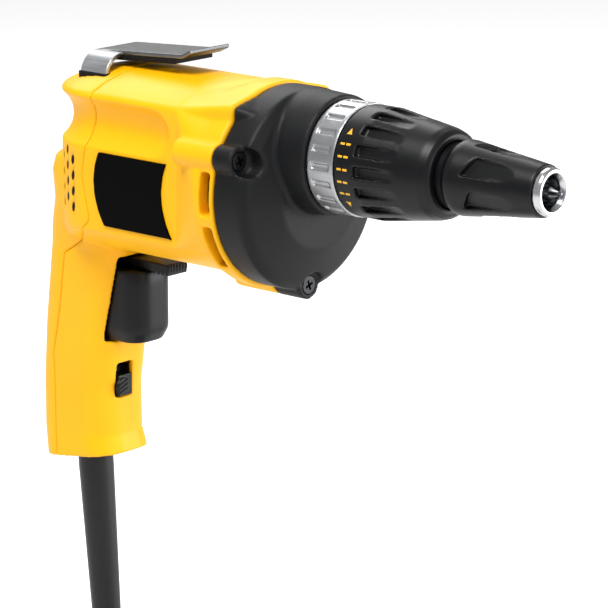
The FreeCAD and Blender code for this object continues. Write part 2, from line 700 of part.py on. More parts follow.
def strip(x_low, x_high, half_width):
    return [(x_low, -half_width), (x_high, -half_width), (x_high, half_width), (x_low, half_width)]


# Motor places
bearing_x = tail_x + S.tail_wall - S.bearing_width
web_x = rim_x - S.web_depth
fan_x = web_x - S.fan_set_back
commutator_x = tail_x + S.tail_wall + S.commutator_inset
core_x = commutator_x + S.commutator_length + S.core_gap
core_end = fan_x - S.core_fan_gap
core_length = core_end - core_x
pinion_x = rim_x + S.pinion_gap
gear_x = rim_x + S.gear_gap
gear_front = gear_x + S.gear_width
front_bearing_x = rim_x - S.bearing_width

# Gear teeth, straight sided: radii off the pitch circle and half widths, as shares of the module
TOOTH_TIP_SHARE = 0.8
TOOTH_ROOT_SHARE = 1.15
PINION_ROOT_SHARE = 1.2
TOOTH_BASE_WIDTH_SHARE = 0.62
TOOTH_TIP_WIDTH_SHARE = 0.3


def tooth(root, tip, direction):
    """One tooth outline; its foot is sunk a little into the root circle."""
    foot = S.gear_module * TOOTH_BASE_WIDTH_SHARE
    crest = S.gear_module * TOOTH_TIP_WIDTH_SHARE
    low = (root - S.gear_module * TOOTH_TIP_WIDTH_SHARE) * direction
    return [(-foot, low), (foot, low), (crest, tip * direction), (-crest, tip * direction)]


def ring(label, x, length, outer, inner, height=S.motor_height):
    """A plain turned ring."""
    end = x + length
    return keep(label, turned(label, [(x, inner), (end, inner), (end, outer), (x, outer)], height))


def motor():
    ring("rear_bearing", bearing_x, S.bearing_width, S.bearing_radius, S.journal_radius + S.running_gap)
    ring("front_bearing", front_bearing_x, S.bearing_width, S.bearing_radius,
         S.journal_radius + S.running_gap)
    ring("commutator", commutator_x, S.commutator_length, S.commutator_radius,
         S.shaft_radius + S.thread_gap)
    ring("armature_core", core_x, core_length, S.core_radius, S.shaft_radius + S.thread_gap)
    ring("stator_core", core_x, core_length, S.motor_bore - S.stator_gap, S.core_radius + S.air_gap)
    for label, inner, outer, rear, front in (
            ("armature_windings", S.shaft_radius + S.thread_gap, S.winding_radius,
             S.winding_rear, S.winding_front),
            ("field_coils", S.coil_inner, S.coil_outer, S.coil_rear, S.coil_front)):
        ends = [turned(label + "_" + end, [(x, inner), (x + long, inner), (x + long, outer), (x, outer)],
                       S.motor_height)
                for end, x, long in (("rear", core_x - rear, rear), ("front", core_end, front))]
        keep(label, fuse(label, *ends))


def armature_shaft():
    """Stepped shaft with the pinion cut on its front end."""
    root = S.gear_module * (S.pinion_teeth / 2 - PINION_ROOT_SHARE)
    tip = S.gear_module * (S.pinion_teeth / 2 + TOOTH_TIP_SHARE)
    rear = bearing_x + S.running_gap
    step = bearing_x + S.bearing_width + S.moving_gap
    neck = front_bearing_x - S.moving_gap
    end = gear_front + S.pinion_extra
    body = new_body("armature_shaft")
    turn(body, [(rear, 0), (rear, S.journal_radius), (step, S.journal_radius), (step, S.shaft_radius),
                (neck, S.shaft_radius), (neck, S.journal_radius), (pinion_x, S.journal_radius),
                (pinion_x, root), (end, root), (end, 0)])
    radial_pad(body, pinion_x, end - pinion_x, tooth(root, tip, -1), S.pinion_teeth)
    return keep("armature_shaft", place(body, z=S.motor_height))


def fan():
    body = new_body("fan")
    bore = S.shaft_radius + S.thread_gap
    disc = fan_x + S.fan_disc
    end = fan_x + S.fan_hub_length
    turn(body, [(fan_x, bore), (end, bore), (end, S.fan_hub), (disc, S.fan_hub), (disc, S.fan_radius),
                (fan_x, S.fan_radius)])
    half = S.fan_blade / 2
    low = S.fan_hub - half
    high = S.fan_radius - half
    radial_pad(body, fan_x, S.fan_depth, [(-half, low), (half, low), (half, high), (-half, high)],
               S.fan_blades)
    return keep("fan", place(body, z=S.motor_height))


def brushes():
    """Two carbon brushes facing the commutator from the sides, each in its own holder tube."""
    middle = commutator_x + S.commutator_length / 2
    half = S.brush_size / 2
    shell = half + S.holder_wall
    near = S.commutator_radius + S.brush_gap
    blocks = []
    tubes = []
    for name, side in (("left", 1), ("right", -1)):
        block = box("brush_" + name, middle - half, middle + half, near, near + S.brush_length,
                    S.motor_height - half, S.motor_height + half)
        far = S.motor_bore - S.brush_gap * 2
        tube = box("tube_" + name, middle - shell, middle + shell, near + S.holder_inset, far,
                   S.motor_height - shell, S.motor_height + shell)
        slot = box("tube_slot_" + name, middle - half, middle + half, near, far - S.holder_wall,
                   S.motor_height - half, S.motor_height + half)
        hollow = cut("holder_" + name, tube, slot)
        if side < 0:
            block = mirrored("brush_across", block)
            hollow = mirrored("holder_across", hollow)
        blocks.append(block)
        tubes.append(hollow)
    keep("carbon_brushes", fuse("carbon_brushes", *blocks))
    keep("brush_holders", fuse("brush_holders", *tubes))


def mirrored(label, source):
    """The same shape on the other side of the middle plane."""
    image = doc.addObject("Part::Mirroring", label)
    image.Source = source
    image.Normal = Vec(0, 1, 0)
    return image


def bearing_plate():
    """Web between motor and gears, with a bearing pocket, a shaft hole and the gear bush seat."""
    radius = S.bearing_bore - S.web_gap
    pocket = S.bearing_radius + S.thread_gap
    hole = S.shaft_radius + S.moving_gap
    web = turned("web", [(web_x, hole), (web_x, radius), (rim_x, radius), (rim_x, pocket),
                         (front_bearing_x, pocket), (front_bearing_x, hole)], S.motor_height)
    seat = rod("gear_bush_seat", S.gear_bush_radius + S.thread_gap, S.web_depth + S.overrun * 2,
               web_x - S.overrun, 0, spindle_height)
    keep("bearing_plate", cut("bearing_plate", web, seat))
    ring("gear_bush", web_x, S.web_depth, S.gear_bush_radius, S.stub_radius + S.running_gap, spindle_height)


def jaw(first):
    """Outline of one clutch jaw across the axis, as a block between two radii."""
    half = S.jaw_inner / 2
    sign = 1 if first else -1
    return [(-half, S.jaw_inner * sign), (half, S.jaw_inner * sign), (half, S.jaw_outer * sign),
            (-half, S.jaw_outer * sign)]


def drive_gear():
    root = S.gear_module * (S.gear_teeth / 2 - TOOTH_ROOT_SHARE)
    tip = S.gear_module * (S.gear_teeth / 2 + TOOTH_TIP_SHARE)
    bore = S.tail_radius + S.running_gap
    body = new_body("drive_gear")
    turn(body, [(web_x, bore), (web_x, S.stub_radius), (gear_x, S.stub_radius), (gear_x, root),
                (gear_front, root), (gear_front, bore)])
    radial_pad(body, gear_x, S.gear_width, tooth(root, tip, 1), S.gear_teeth)
    radial_pad(body, gear_front, S.jaw_height, jaw(True), S.jaw_count)
    return keep("drive_gear", place(body, z=spindle_height))


# Spindle and nose places, at rest with the clutch apart
jaw_x = gear_front + S.jaw_height + S.jaw_gap
flange_x = jaw_x + S.jaw_height
spindle_x = flange_x + S.flange_length
spindle_end = spindle_x + S.spindle_length
bush_x = spindle_x + S.moving_gap * 2
holder_x = spindle_end - S.holder_shank
ring_x = rim_x + S.neck_length + S.collar_gap
collar_x = ring_x + S.ring_length + S.collar_gap
collar_end = collar_x + S.collar_length
snout_end = rim_x + S.neck_length + S.snout_length
shoulder_x = collar_end + S.nose_travel + S.collar_gap
sleeve_x = snout_end + S.nose_travel + S.snout_gap
nose_end = shoulder_x + S.nose_length
holder_end = nose_end - S.holder_set_back
bit_x = holder_end - S.socket_depth
socket_radius = S.hex_across / math.sqrt(3) + S.hex_corner_gap


def hexagon():
    """Corners of the drive hexagon, flat side up."""
    reach = S.hex_across / math.sqrt(3)
    corners = [math.radians(60 * i) for i in range(6)]
    return [(reach * math.cos(a), reach * math.sin(a)) for a in corners]


def spindle():
    tail = web_x + S.press_travel + S.running_gap
    body = new_body("spindle")
    turn(body, [(tail, 0), (tail, S.tail_radius), (flange_x, S.tail_radius), (flange_x, S.flange_radius),
                (spindle_x, S.flange_radius), (spindle_x, S.spindle_radius), (spindle_end, S.spindle_radius),
                (spindle_end, socket_radius), (holder_x, socket_radius), (holder_x, 0)])
    radial_pad(body, jaw_x, S.jaw_height + S.jaw_gap, jaw(False), S.jaw_count)
    return keep("spindle", place(body, z=spindle_height))


def bit_holder():
    body = new_body("bit_holder")
    sketch = sketch_on(body, "YZ_Plane", holder_x + S.running_gap)
    polygon(sketch, hexagon())
    pad(body, sketch, S.holder_shank)
    collar = spindle_end + S.running_gap
    turn(body, [(collar, 0), (collar, S.holder_radius), (holder_end, S.holder_radius),
                (holder_end, socket_radius), (bit_x, socket_radius), (bit_x, 0)])
    return keep("bit_holder", place(body, z=spindle_height))


def driver_bit():
    """Insert bit: hexagon, neck, and a tapered point with four flutes."""
    start = bit_x + S.running_gap
    end = start + S.bit_length
    neck = end - S.bit_neck - S.bit_taper
    taper = end - S.bit_taper
    body = new_body("driver_bit")
    sketch = sketch_on(body, "YZ_Plane", start)
    polygon(sketch, hexagon())
    pad(body, sketch, neck - start)
    turn(body, [(neck, 0), (neck, S.bit_neck_radius), (taper, S.bit_neck_radius), (end, S.bit_point_radius),
                (end, 0)])
    radial_pocket(body, strip(end - S.bit_flute_length, end + S.overrun, S.bit_flute_half), S.hex_across,
                  S.hex_across - S.bit_core, S.bit_flutes)
    return keep("driver_bit", place(body, z=spindle_height))


def gear_case():
    """Rim band and dome about the motor, neck and snout about the spindle, three screw bosses."""
    band = rim_x + S.case_band
    slope = band + S.case_chamfer
    dome = band + S.dome_depth
    rim = turned("case_rim", [(rim_x, 0), (rim_x, S.rim_radius), (band, S.rim_radius),
                              (slope, S.rim_radius - S.case_chamfer), (dome, S.dome_radius), (dome, 0)],
                 S.motor_height)
    neck_end = rim_x + S.neck_length
    neck = turned("case_neck", [(rim_x, 0), (rim_x, S.neck_radius), (dome, S.neck_radius),
                                (neck_end, S.neck_radius - S.neck_taper),
                                (neck_end, S.snout_radius), (snout_end, S.snout_radius), (snout_end, 0)],
                  spindle_height)
    fronts = boss_fronts()
    bosses = []
    channels = []
    for i, (y, z) in enumerate(boss_places()):
        bosses.append(rod("case_boss_%d" % i, S.boss_radius, fronts[i] - rim_x, rim_x, y, z))
        channels.append(rod("boss_channel_%d" % i, S.boss_radius, dome - rim_x, fronts[i], y, z))
    front = cut("case_front", fuse("case_front_whole", rim, neck, case_roof()), *channels)
    chamber_end = spindle_x + S.moving_gap
    bush_end = bush_x + S.spindle_bush_length
    before = rim_x - S.overrun
    hollow = turned("case_hollow", [(before, 0), (before, S.chamber_radius), (chamber_end, S.chamber_radius),
                                    (chamber_end, S.spindle_bush_radius + S.thread_gap),
                                    (bush_end, S.spindle_bush_radius + S.thread_gap),
                                    (bush_end, S.snout_bore),
                                    (snout_end + S.overrun, S.snout_bore), (snout_end + S.overrun, 0)],
                    spindle_height)
    room = rod("pinion_room", S.pinion_room, gear_front + S.pinion_extra + S.overrun * 2 - rim_x,
               before, 0, S.motor_height)
    holes = []
    for i, (y, z) in enumerate(boss_places()):
        seat = fronts[i] - S.case_head_length
        holes.append(rod("head_bore_%d" % i, S.case_head_radius + S.thread_gap,
                         S.case_head_length + S.overrun,
                         seat, y, z))
        holes.append(rod("case_pilot_%d" % i, S.case_screw_radius + S.thread_gap, fronts[i] - before,
                         before, y, z))
    keep("gear_case", cut("gear_case", fuse("case_whole", front, *bosses), hollow, room, *holes))
    screws = []
    for i, (y, z) in enumerate(boss_places()):
        seat = fronts[i] - S.case_head_length
        shank = rod("case_shank_%d" % i, S.case_screw_radius, S.case_screw_length,
                    seat - S.case_screw_length, y, z)
        head = rod("case_head_%d" % i, S.case_head_radius, S.case_head_length, seat, y, z)
        screws.append(fuse("case_screw_%d" % i, shank, head))
    keep("gear_case_screws", fuse("gear_case_screws", *screws))
    ring("spindle_bush", bush_x, S.spindle_bush_length, S.spindle_bush_radius,
         S.spindle_radius + S.running_gap, spindle_height)


def detent_ring():
    """Satin ring on the snout with a row of notches that leave pads between them."""
    body = new_body("detent_ring")
    end = ring_x + S.ring_length
    bore = S.snout_radius + S.thread_gap
    turn(body, [(ring_x, bore), (ring_x, S.ring_radius), (end, S.ring_radius), (end, bore)])
    radial_pocket(body, strip(ring_x + S.ring_notch_inset, end - S.ring_notch_inset, S.ring_notch / 2),
                  S.ring_radius, S.ring_notch_depth, S.ring_pads)
    return keep("detent_ring", place(body, z=spindle_height))


def depth_collar():
    """Turning collar: straight fluted band, taper and front lip, running on the snout."""
    straight = collar_x + S.collar_straight
    lip = collar_end - S.collar_lip
    bore = S.snout_radius + S.moving_gap
    step = snout_end + S.moving_gap
    front_bore = S.sleeve_radius + S.sleeve_gap
    body = new_body("depth_collar")
    turn(body, [(collar_x, bore), (collar_x, S.collar_radius), (straight, S.collar_radius),
                (lip - S.collar_lip * 2, S.collar_front_radius), (lip, S.collar_lip_radius + S.collar_lip),
                (collar_end, S.collar_lip_radius), (collar_end, front_bore), (step, front_bore),
                (step, bore)])
    start = collar_x + S.flute_inset
    radial_pocket(body, strip(start, start + S.flute_length, S.flute_width / 2), S.collar_radius,
                  S.flute_depth, S.flute_count)
    return keep("depth_collar", place(body, z=spindle_height))


def nosepiece():
    """Sliding nose: sleeve inside the collar, shoulder, tapered front with scooped flats."""
    locator_x = nose_end - S.locator_sleeve
    seat = S.locator_sleeve_radius + S.thread_gap
    full = shoulder_x + S.nose_shoulder
    body = new_body("nosepiece")
    turn(body, [(sleeve_x, S.nose_bore), (sleeve_x, S.sleeve_radius), (shoulder_x, S.sleeve_radius),
                (full, S.nose_shoulder_radius), (full + S.nose_shoulder, S.nose_shoulder_radius),
                (nose_end, S.nose_tip_radius), (nose_end, seat), (locator_x, seat),
                (locator_x, S.nose_bore)])
    start = shoulder_x + S.nose_flute_start
    radial_pocket(body, strip(start, nose_end, S.nose_flute_width / 2), S.nose_shoulder_radius,
                  S.nose_shoulder_radius - S.nose_flute_plane, S.nose_flutes)
    keep("nosepiece", place(body, z=spindle_height))
    rim = nose_end + S.locator_rim
    bevel = rim - S.locator_chamfer
    keep("locator_tip", turned("locator_tip", [
        (locator_x, S.locator_bore), (locator_x, S.locator_sleeve_radius),
        (nose_end, S.locator_sleeve_radius), (nose_end, S.locator_radius), (bevel, S.locator_radius),
        (rim, S.locator_radius - S.locator_chamfer / 2),
        (rim, S.locator_bore + S.locator_chamfer), (bevel - S.locator_chamfer, S.locator_bore),
    ], spindle_height))


# Trigger sections: height from bottom to top, front and half width, as shares of its own sizes
TRIGGER_SHARES = [(0.0, 0.93, 0.86), (0.16, 1.0, 1.0), (0.85, 1.0, 1.0), (1.0, 0.98, 1.0)]
lever_low = trigger_top + S.lever_gap
lever_high = lever_low + S.lever_thickness
trigger_rear = S.switch_front + S.trigger_travel + S.trigger_stop_gap
pocket_end = trigger_rear + S.pocket_depth


def trigger():
    tall = trigger_top + S.trigger_bottom
    sections = []
    for height, front, wide in TRIGGER_SHARES:
        half = S.trigger_half_width * wide
        sections.append((tall * height - S.trigger_bottom, trigger_rear, S.trigger_front * front,
                         -half, half, S.trigger_corner * wide))
    block = lofted("trigger_block", "XY_Plane", sections)
    middle = (trigger_top - S.trigger_bottom) / 2
    pocket = rod("spring_pocket", S.pocket_radius, S.pocket_depth + S.overrun, trigger_rear - S.overrun,
                 0, middle)
    return keep("trigger", cut("trigger", block, pocket))


def switch_body():
    half = S.switch_half_width
    block = box("switch_block", S.switch_front - S.switch_depth, S.switch_front, -half, half,
                -S.switch_bottom, trigger_top)
    post = rod("pivot_post", S.pivot_radius, lever_high - trigger_top, 0, 0, trigger_top, "z")
    return keep("switch_body", fuse("switch_body", block, post))


def reverse_lever():
    """Flat lever on a post over the switch, with a ribbed tab in front of the trigger."""
    tab = S.lever_tip - S.lever_tab_length
    half = S.lever_half_width
    wide = S.lever_tab_half_width
    outline = [(-S.lever_tail, -half), (tab - S.lever_tab_length, -half), (tab, -wide), (S.lever_tip, -wide),
               (S.lever_tip, wide), (tab, wide), (tab - S.lever_tab_length, half), (-S.lever_tail, half)]
    plate = padded("lever_plate", "XY_Plane", outline, S.lever_thickness, lever_low)
    ribs = []
    for i in range(int(S.lever_ribs.value)):
        x = S.lever_tip - S.lever_rib * (2 * i + 1)
        ribs.append(box("lever_rib_%d" % i, x, x + S.lever_rib, -wide, wide,
                        lever_low - S.lever_rib_depth, lever_low + S.lever_rib_depth))
    hole = rod("pivot_hole", S.pivot_radius + S.running_gap, S.lever_thickness + S.overrun * 2, 0, 0,
               lever_low - S.overrun, "z")
    return keep("reverse_lever", cut("reverse_lever", fuse("lever_whole", plate, *ribs), hole))


# Front face of the grip where the lock slides, as a share of the grip depth
LOCK_FACE_SHARE = 0.511
lock_front = S.grip_depth * LOCK_FACE_SHARE + S.lock_proud
lock_back = lock_front - S.lock_proud - S.grip_wall - S.lock_flange_inset - S.lock_flange_depth


def lock_slot():
    half = S.lock_half_width + S.lock_side_gap
    return box("lock_slot", lock_back, lock_front + S.grip_wall, S.lock_y - half, S.lock_y + half,
               -S.lock_bottom - S.lock_end_gap, -S.lock_top + S.lock_travel + S.lock_end_gap)


def lock_slider():
    half = S.lock_half_width
    button = box("lock_button", lock_back, lock_front, S.lock_y - half, S.lock_y + half,
                 -S.lock_bottom, -S.lock_top)
    wide = half + S.lock_flange
    flange = box("lock_plate", lock_back, lock_back + S.lock_flange_depth, S.lock_y - wide, S.lock_y + wide,
                 -S.lock_bottom - S.lock_flange, -S.lock_top + S.lock_flange)
    return keep("lock_slider", fuse("lock_slider", button, flange))


# Belt hook places: the bend runs along X on the right of the roof, the blade rises forward
blade_low = roof_top + S.hook_clear
hook_rear = tail_x + S.hook_inset
hook_tip = hook_rear + S.hook_length
blade_turn = hook_tip - S.hook_lip
bend_y = S.hook_bend - S.hook_leg_y
bend_z = blade_low + S.hook_thickness - S.hook_bend
leg_end = hook_rear + S.hook_leg_length


def blade_under(x):
    """Height of the blade's underside at a place along it."""
    return blade_low + S.hook_rise * (x - hook_rear) / (blade_turn - hook_rear)


def spread(label, points, y_low, y_high):
    """A side outline spread from one Y to another."""
    return place(padded(label, "XZ_Plane", points, y_high - y_low), y=y_high)


def belt_hook():
    thick = S.hook_thickness
    lip_low = blade_under(blade_turn) + S.hook_lip_rise
    blade = spread("hook_blade", [
        (hook_rear, blade_low), (blade_turn, blade_under(blade_turn)), (hook_tip, lip_low),
        (hook_tip, lip_low + thick), (blade_turn, blade_under(blade_turn) + thick),
        (hook_rear, blade_low + thick)], bend_y, S.hook_far_y)
    full = rod("hook_bend_outer", S.hook_bend, S.hook_leg_length, hook_rear, bend_y, bend_z)
    core = rod("hook_bend_core", S.hook_bend - thick, S.hook_leg_length, hook_rear, bend_y, bend_z)
    quarter = box("hook_bend_quarter", hook_rear, leg_end, bend_y - S.hook_bend, bend_y,
                  bend_z, bend_z + S.hook_bend)
    bend = common("hook_bend", cut("hook_bend_tube", full, core), quarter)
    leg = box("hook_leg", hook_rear, leg_end, -S.hook_leg_y, -S.hook_leg_y + thick,
              bend_z - S.hook_tang, bend_z)
    keep("belt_hook", fuse("belt_hook", blade, bend, leg))
    under = S.liner_thickness
    end = hook_tip - S.liner_set_back
    keep("hook_liner", spread("hook_liner", [
        (hook_rear, blade_low - under), (end, blade_under(end) - under), (end, blade_under(end)),
        (hook_rear, blade_low)], bend_y, S.hook_far_y - S.liner_edge))


def hook_slot():
    gap = S.hook_slot_gap
    return box("hook_slot", hook_rear - gap, leg_end + gap, -S.hook_leg_y - gap,
               -S.hook_leg_y + S.hook_thickness + gap * 3, bend_z - S.hook_tang - gap, roof_top)


# Wound and bent tubes
def biarc(start, leave, end, arrive):
    """Two tangent arcs from one point and direction to another."""
    chord = end - start
    both = leave + arrive
    spare = 2 * (1 - leave.dot(arrive))
    along = chord.dot(both)
    if spare < 1e-9:
        reach = chord.dot(chord) / (2 * along)
    else:
        reach = (math.sqrt(along * along + spare * chord.dot(chord)) - along) / spare
    first = start + leave * reach
    second = end - arrive * reach
    joint = (first + second) * 0.5
    return [tangent_arc(start, first, joint), tangent_arc(joint, second, end)]


def tangent_arc(start, corner, end):
    """Arc between two points whose tangents meet at a corner."""
    middle = (start + end) * 0.5
    half = (end - start).Length / 2
    rise = (corner - middle).Length
    if rise < half * 1e-7:
        return Part.LineSegment(start, end).toShape()
    bulge = half * math.tan(math.atan2(rise, half) / 2)
    return Part.Arc(start, middle + (corner - middle) * (bulge / rise), end).toShape()


def pipe(edges, radius):
    """Round tube along tangent edges, with its volume compared with section times length."""
    first = edges[0]
    start = first.valueAt(first.FirstParameter)
    along = first.tangentAt(first.FirstParameter)
    section = Part.Wire([Part.makeCircle(radius, start, along)])
    solid = Part.Wire(edges).makePipeShell([section], True, False)
    length = sum(edge.Length for edge in edges)
    share = solid.Volume / (math.pi * radius ** 2 * length)
    return solid, length, share


def self_gap(edges, radius, steps=10):
    """Least gap of a wound tube to itself, measured on points along it."""
    points = []
    travelled = 0.0
    for edge in edges:
        for i in range(steps):
            share = i / steps
            at = edge.FirstParameter + (edge.LastParameter - edge.FirstParameter) * share
            points.append((travelled + edge.Length * share, edge.valueAt(at)))
        travelled += edge.Length
    away = 4 * math.pi * radius
    least = min((b - a).Length for i, (p, a) in enumerate(points) for q, b in points[i + 1:] if q - p > away)
    return least - 2 * radius


def feature(label, shape):
    solid = doc.addObject("Part::Feature", label)
    solid.Shape = shape
    return keep(label, solid)


def spring(label, radius, wire, turns, x_low, x_high, height):
    """Compression spring along X, wound on quarter turns."""
    rise = (x_high - x_low - 2 * wire) / (turns * 2 * math.pi)
    stations = []
    for i in range(4 * int(turns) + 1):
        angle = i * math.pi / 2
        at = Vec(x_low + wire + rise * angle, radius * math.cos(angle), height + radius * math.sin(angle))
        heading = Vec(rise, -radius * math.sin(angle), radius * math.cos(angle))
        stations.append((at, heading.normalize()))
    edges = [edge for a, b in zip(stations, stations[1:]) for edge in biarc(*a, *b)]
    solid, length, share = pipe(edges, wire)
    print("%s: wire length %.1f mm, volume share %.4f, least gap to itself %.2f mm"
          % (label, length, share, self_gap(edges, wire)))
    feature(label, solid)


def springs():
    gap = S.spring_end_gap
    middle = (trigger_top - S.trigger_bottom) / 2
    for label, radius, wire, turns, low, high, height in (
            ("clutch_spring", S.clutch_coil_radius, S.spring_wire, S.clutch_turns,
             gear_front + gap, flange_x - gap, spindle_height),
            ("trigger_spring", S.trigger_coil_radius, S.trigger_wire, S.trigger_turns,
             S.switch_front + gap, pocket_end - gap, middle)):
        spring(label, radius.value, wire.value, turns.value, low.value, high.value, height.value)


# Cord: the boot dips from the level by this angle, in degrees
BOOT_DIP_ANGLE = 85.8
boot_z = S.grip_bottom * CAVITY_BOTTOM_SHARE + S.boot_flange + S.boot_seat_gap
boot_way = Vec(math.cos(math.radians(BOOT_DIP_ANGLE)), 0, -math.sin(math.radians(BOOT_DIP_ANGLE)))
boot_end = Vec(S.boot_x.value, 0, boot_z.value) + boot_way * S.boot_length.value

# Route of the free cord, as steps away from the end of the boot, down to where it lies flat
CORD_ROUTE = [(0, 0, 0), (1.9, 0, -25.9), (14.2, 8.6, -51.9), (35.5, 23.4, -66.9), (58.5, 39.4, -66.9)]
ARC_RUN_SHARE = 0.45

# Tail from the coil to the plug, as steps along and aside from the way the coil ends
TAIL_ROUTE = [(0, 0), (36, 0), (53.3, -10)]


def leaned(body):
    body.Placement = FreeCAD.Placement(Vec(), FreeCAD.Rotation(Vec(0, 1, 0), BOOT_DIP_ANGLE))
    return place(body, S.boot_x, 0, boot_z)


def cord_boot():
    body = new_body("cord_boot")
    turn(body, [(0, 0), (0, S.boot_flange_radius), (S.boot_flange, S.boot_flange_radius),
                (S.boot_flange, S.boot_radius), (S.boot_straight, S.boot_radius),
                (S.boot_length, S.boot_tip_radius), (S.boot_length, 0)])
    return keep("cord_boot", leaned(body))


def boot_hole():
    body = new_body("boot_hole")
    wide = S.boot_radius + S.boot_hole_gap
    turn(body, [(S.boot_flange, 0), (S.boot_flange, wide), (S.boot_length, wide), (S.boot_length, 0)])
    return leaned(body)


def inner_lead():
    """Lead from the cord to the switch, held by a clamp across the grip."""
    low = boot_z + S.moving_gap * 3
    lead = rod("inner_lead", S.lead_radius, -S.switch_bottom - S.moving_gap - low, S.lead_x, 0, low, "z")
    keep("inner_lead", lead)
    half = S.clamp_depth / 2
    base = boot_z + S.clamp_lift
    block = box("clamp_block", S.boot_x - half, S.boot_x + half, -S.clamp_half_width, S.clamp_half_width,
                base, base + S.clamp_height)
    hole = rod("clamp_hole", S.lead_radius + S.thread_gap, S.clamp_height + S.overrun * 2, S.lead_x, 0,
               base - S.overrun, "z")
    keep("cord_clamp", cut("cord_clamp", block, hole))


def bent_path(points):
    """Straight runs joined by tangent arcs, each as large as its two runs allow."""
    edges = []
    radii = []
    at = points[0]
    for before, corner, after in zip(points, points[1:], points[2:]):
        into = corner - before
        out = after - corner
        trim = ARC_RUN_SHARE * min(into.Length, out.Length)
        radii.append(trim / math.tan(into.getAngle(out) / 2))
        begin = corner - into.normalize() * trim
        end = corner + out.normalize() * trim
        edges.append(Part.LineSegment(at, begin).toShape())
        edges.append(tangent_arc(begin, corner, end))
        at = end
    edges.append(Part.LineSegment(at, points[-1]).toShape())
    return edges, radii


class Winding:
    """Flat two-layer coil: spirals in, climbs a layer in the half turn where it reverses, spirals out."""

    def __init__(self, start, heading):
        self.slope = S.coil_pitch.value / (2 * math.pi)
        self.radius = S.coil_radius.value
        self.layer = S.coil_layer.value
        self.inward = 2 * math.pi * S.coil_turns.value
        self.inner = self.radius - self.slope * self.inward
        way = math.atan2(heading.y, heading.x)
        self.first = way + math.pi / 2 + math.atan2(self.slope, self.radius)
        self.centre = start - Vec(math.cos(self.first), math.sin(self.first), 0) * self.radius

    def station(self, travel):
        """Place and direction after an angle of travel."""
        past = travel - self.inward
        if past <= 0:
            radius, growth, rise, climb = self.radius - self.slope * travel, -self.slope, 0, 0
        elif past < math.pi:
            share = past / math.pi
            radius = self.inner - self.slope * (past - past * share)
            growth = -self.slope * (1 - 2 * share)
            rise = self.layer * share * share * (3 - 2 * share)
            climb = self.layer * 6 * share * (1 - share) / math.pi
        else:
            radius, growth = self.inner + self.slope * (past - math.pi), self.slope
            rise, climb = self.layer, 0
        angle = self.first - travel
        out = Vec(math.cos(angle), math.sin(angle), 0)
        round_way = Vec(math.sin(angle), -math.cos(angle), 0)
        heading = out * growth + round_way * radius + Vec(0, 0, climb)
        return self.centre + out * radius + Vec(0, 0, rise), heading.normalize()

    def edges(self):
        quarter = math.pi / 2
        steps = round(self.inward / quarter)
        travels = [i * quarter for i in range(steps)]
        travels += [self.inward + i * quarter / 2 for i in range(4)]
        travels += [self.inward + math.pi + i * quarter for i in range(steps + 1)]
        stations = [self.station(travel) for travel in travels]
        lead = 2 * S.cord_radius.value
        start, leave = stations[0]
        end, arrive = stations[-1]
        turns = [edge for a, b in zip(stations, stations[1:]) for edge in biarc(*a, *b)]
        last = end + arrive * lead
        return ([Part.LineSegment(start - leave * lead, start).toShape()] + turns
                + [Part.LineSegment(end, last).toShape()]), last, arrive


def cord():
    radius = S.cord_radius.value
    points = [boot_end + Vec(*step) for step in CORD_ROUTE]
    edges, radii = bent_path(points)
    drop, drop_length, drop_share = pipe(edges, radius)
    heading = (points[-1] - points[-2]).normalize()
    feature("cord_drop", drop)
    winding = Winding(points[-1] + heading * (2 * radius), heading)
    edges, end, way = winding.edges()
    coil, coil_length, coil_share = pipe(edges, radius)
    feature("cord_coil", coil)
    print("cord_drop: length %.1f mm, volume share %.4f, bend radii %s"
          % (drop_length, drop_share, " ".join("%.1f" % r for r in radii)))
    print("cord_coil: length %.1f mm, volume share %.4f, least gap to itself %.2f mm"
          % (coil_length, coil_share, self_gap(edges, radius)))
    aside = Vec(-way.y, way.x, 0)
    points = [end + way * along + aside * off for along, off in TAIL_ROUTE]
    edges, radii = bent_path(points)
    tail, tail_length, tail_share = pipe(edges, radius)
    feature("cord_tail", tail)
    print("cord_tail: length %.1f mm, volume share %.4f, bend radii %s"
          % (tail_length, tail_share, " ".join("%.1f" % r for r in radii)))
    print("cord in all: %.1f mm" % (drop_length + coil_length + tail_length))
    coil_tie(winding)
    plug(points[-1], (points[-1] - points[-2]).normalize())


def coil_tie(winding):
    """Strap round both layers, a quarter turn on from where the cord comes in."""
    quarter = math.pi / 2
    reach = S.cord_radius + S.tie_gap
    outer = winding.station(quarter)[0]
    inner = winding.station(winding.inward - quarter)[0]
    near = (inner - winding.centre).Length - reach.value
    far = (outer - winding.centre).Length + reach.value
    low = -reach.value
    high = winding.layer + reach.value
    strap = S.tie_thickness.value
    wide = S.tie_width.value
    over = S.overrun.value
    ring_out = Part.makeBox(far - near + 2 * strap, wide, high - low + 2 * strap,
                            Vec(near - strap, -wide / 2, low - strap))
    ring_in = Part.makeBox(far - near, wide + 2 * over, high - low, Vec(near, -wide / 2 - over, low))
    tie = feature("coil_tie", ring_out.cut(ring_in))
    turned_by = FreeCAD.Rotation(Vec(0, 0, 1), math.degrees(winding.first - quarter))
    tie.Placement = FreeCAD.Placement(winding.centre, turned_by)


# Plug body sections: along its length past the neck, half width and half height, as shares
PLUG_SHARES = [(0.2, 1.0, 0.95), (0.85, 1.0, 1.0), (1.0, 0.93, 0.93)]
ROUND_CORNER_SHARE = 0.9


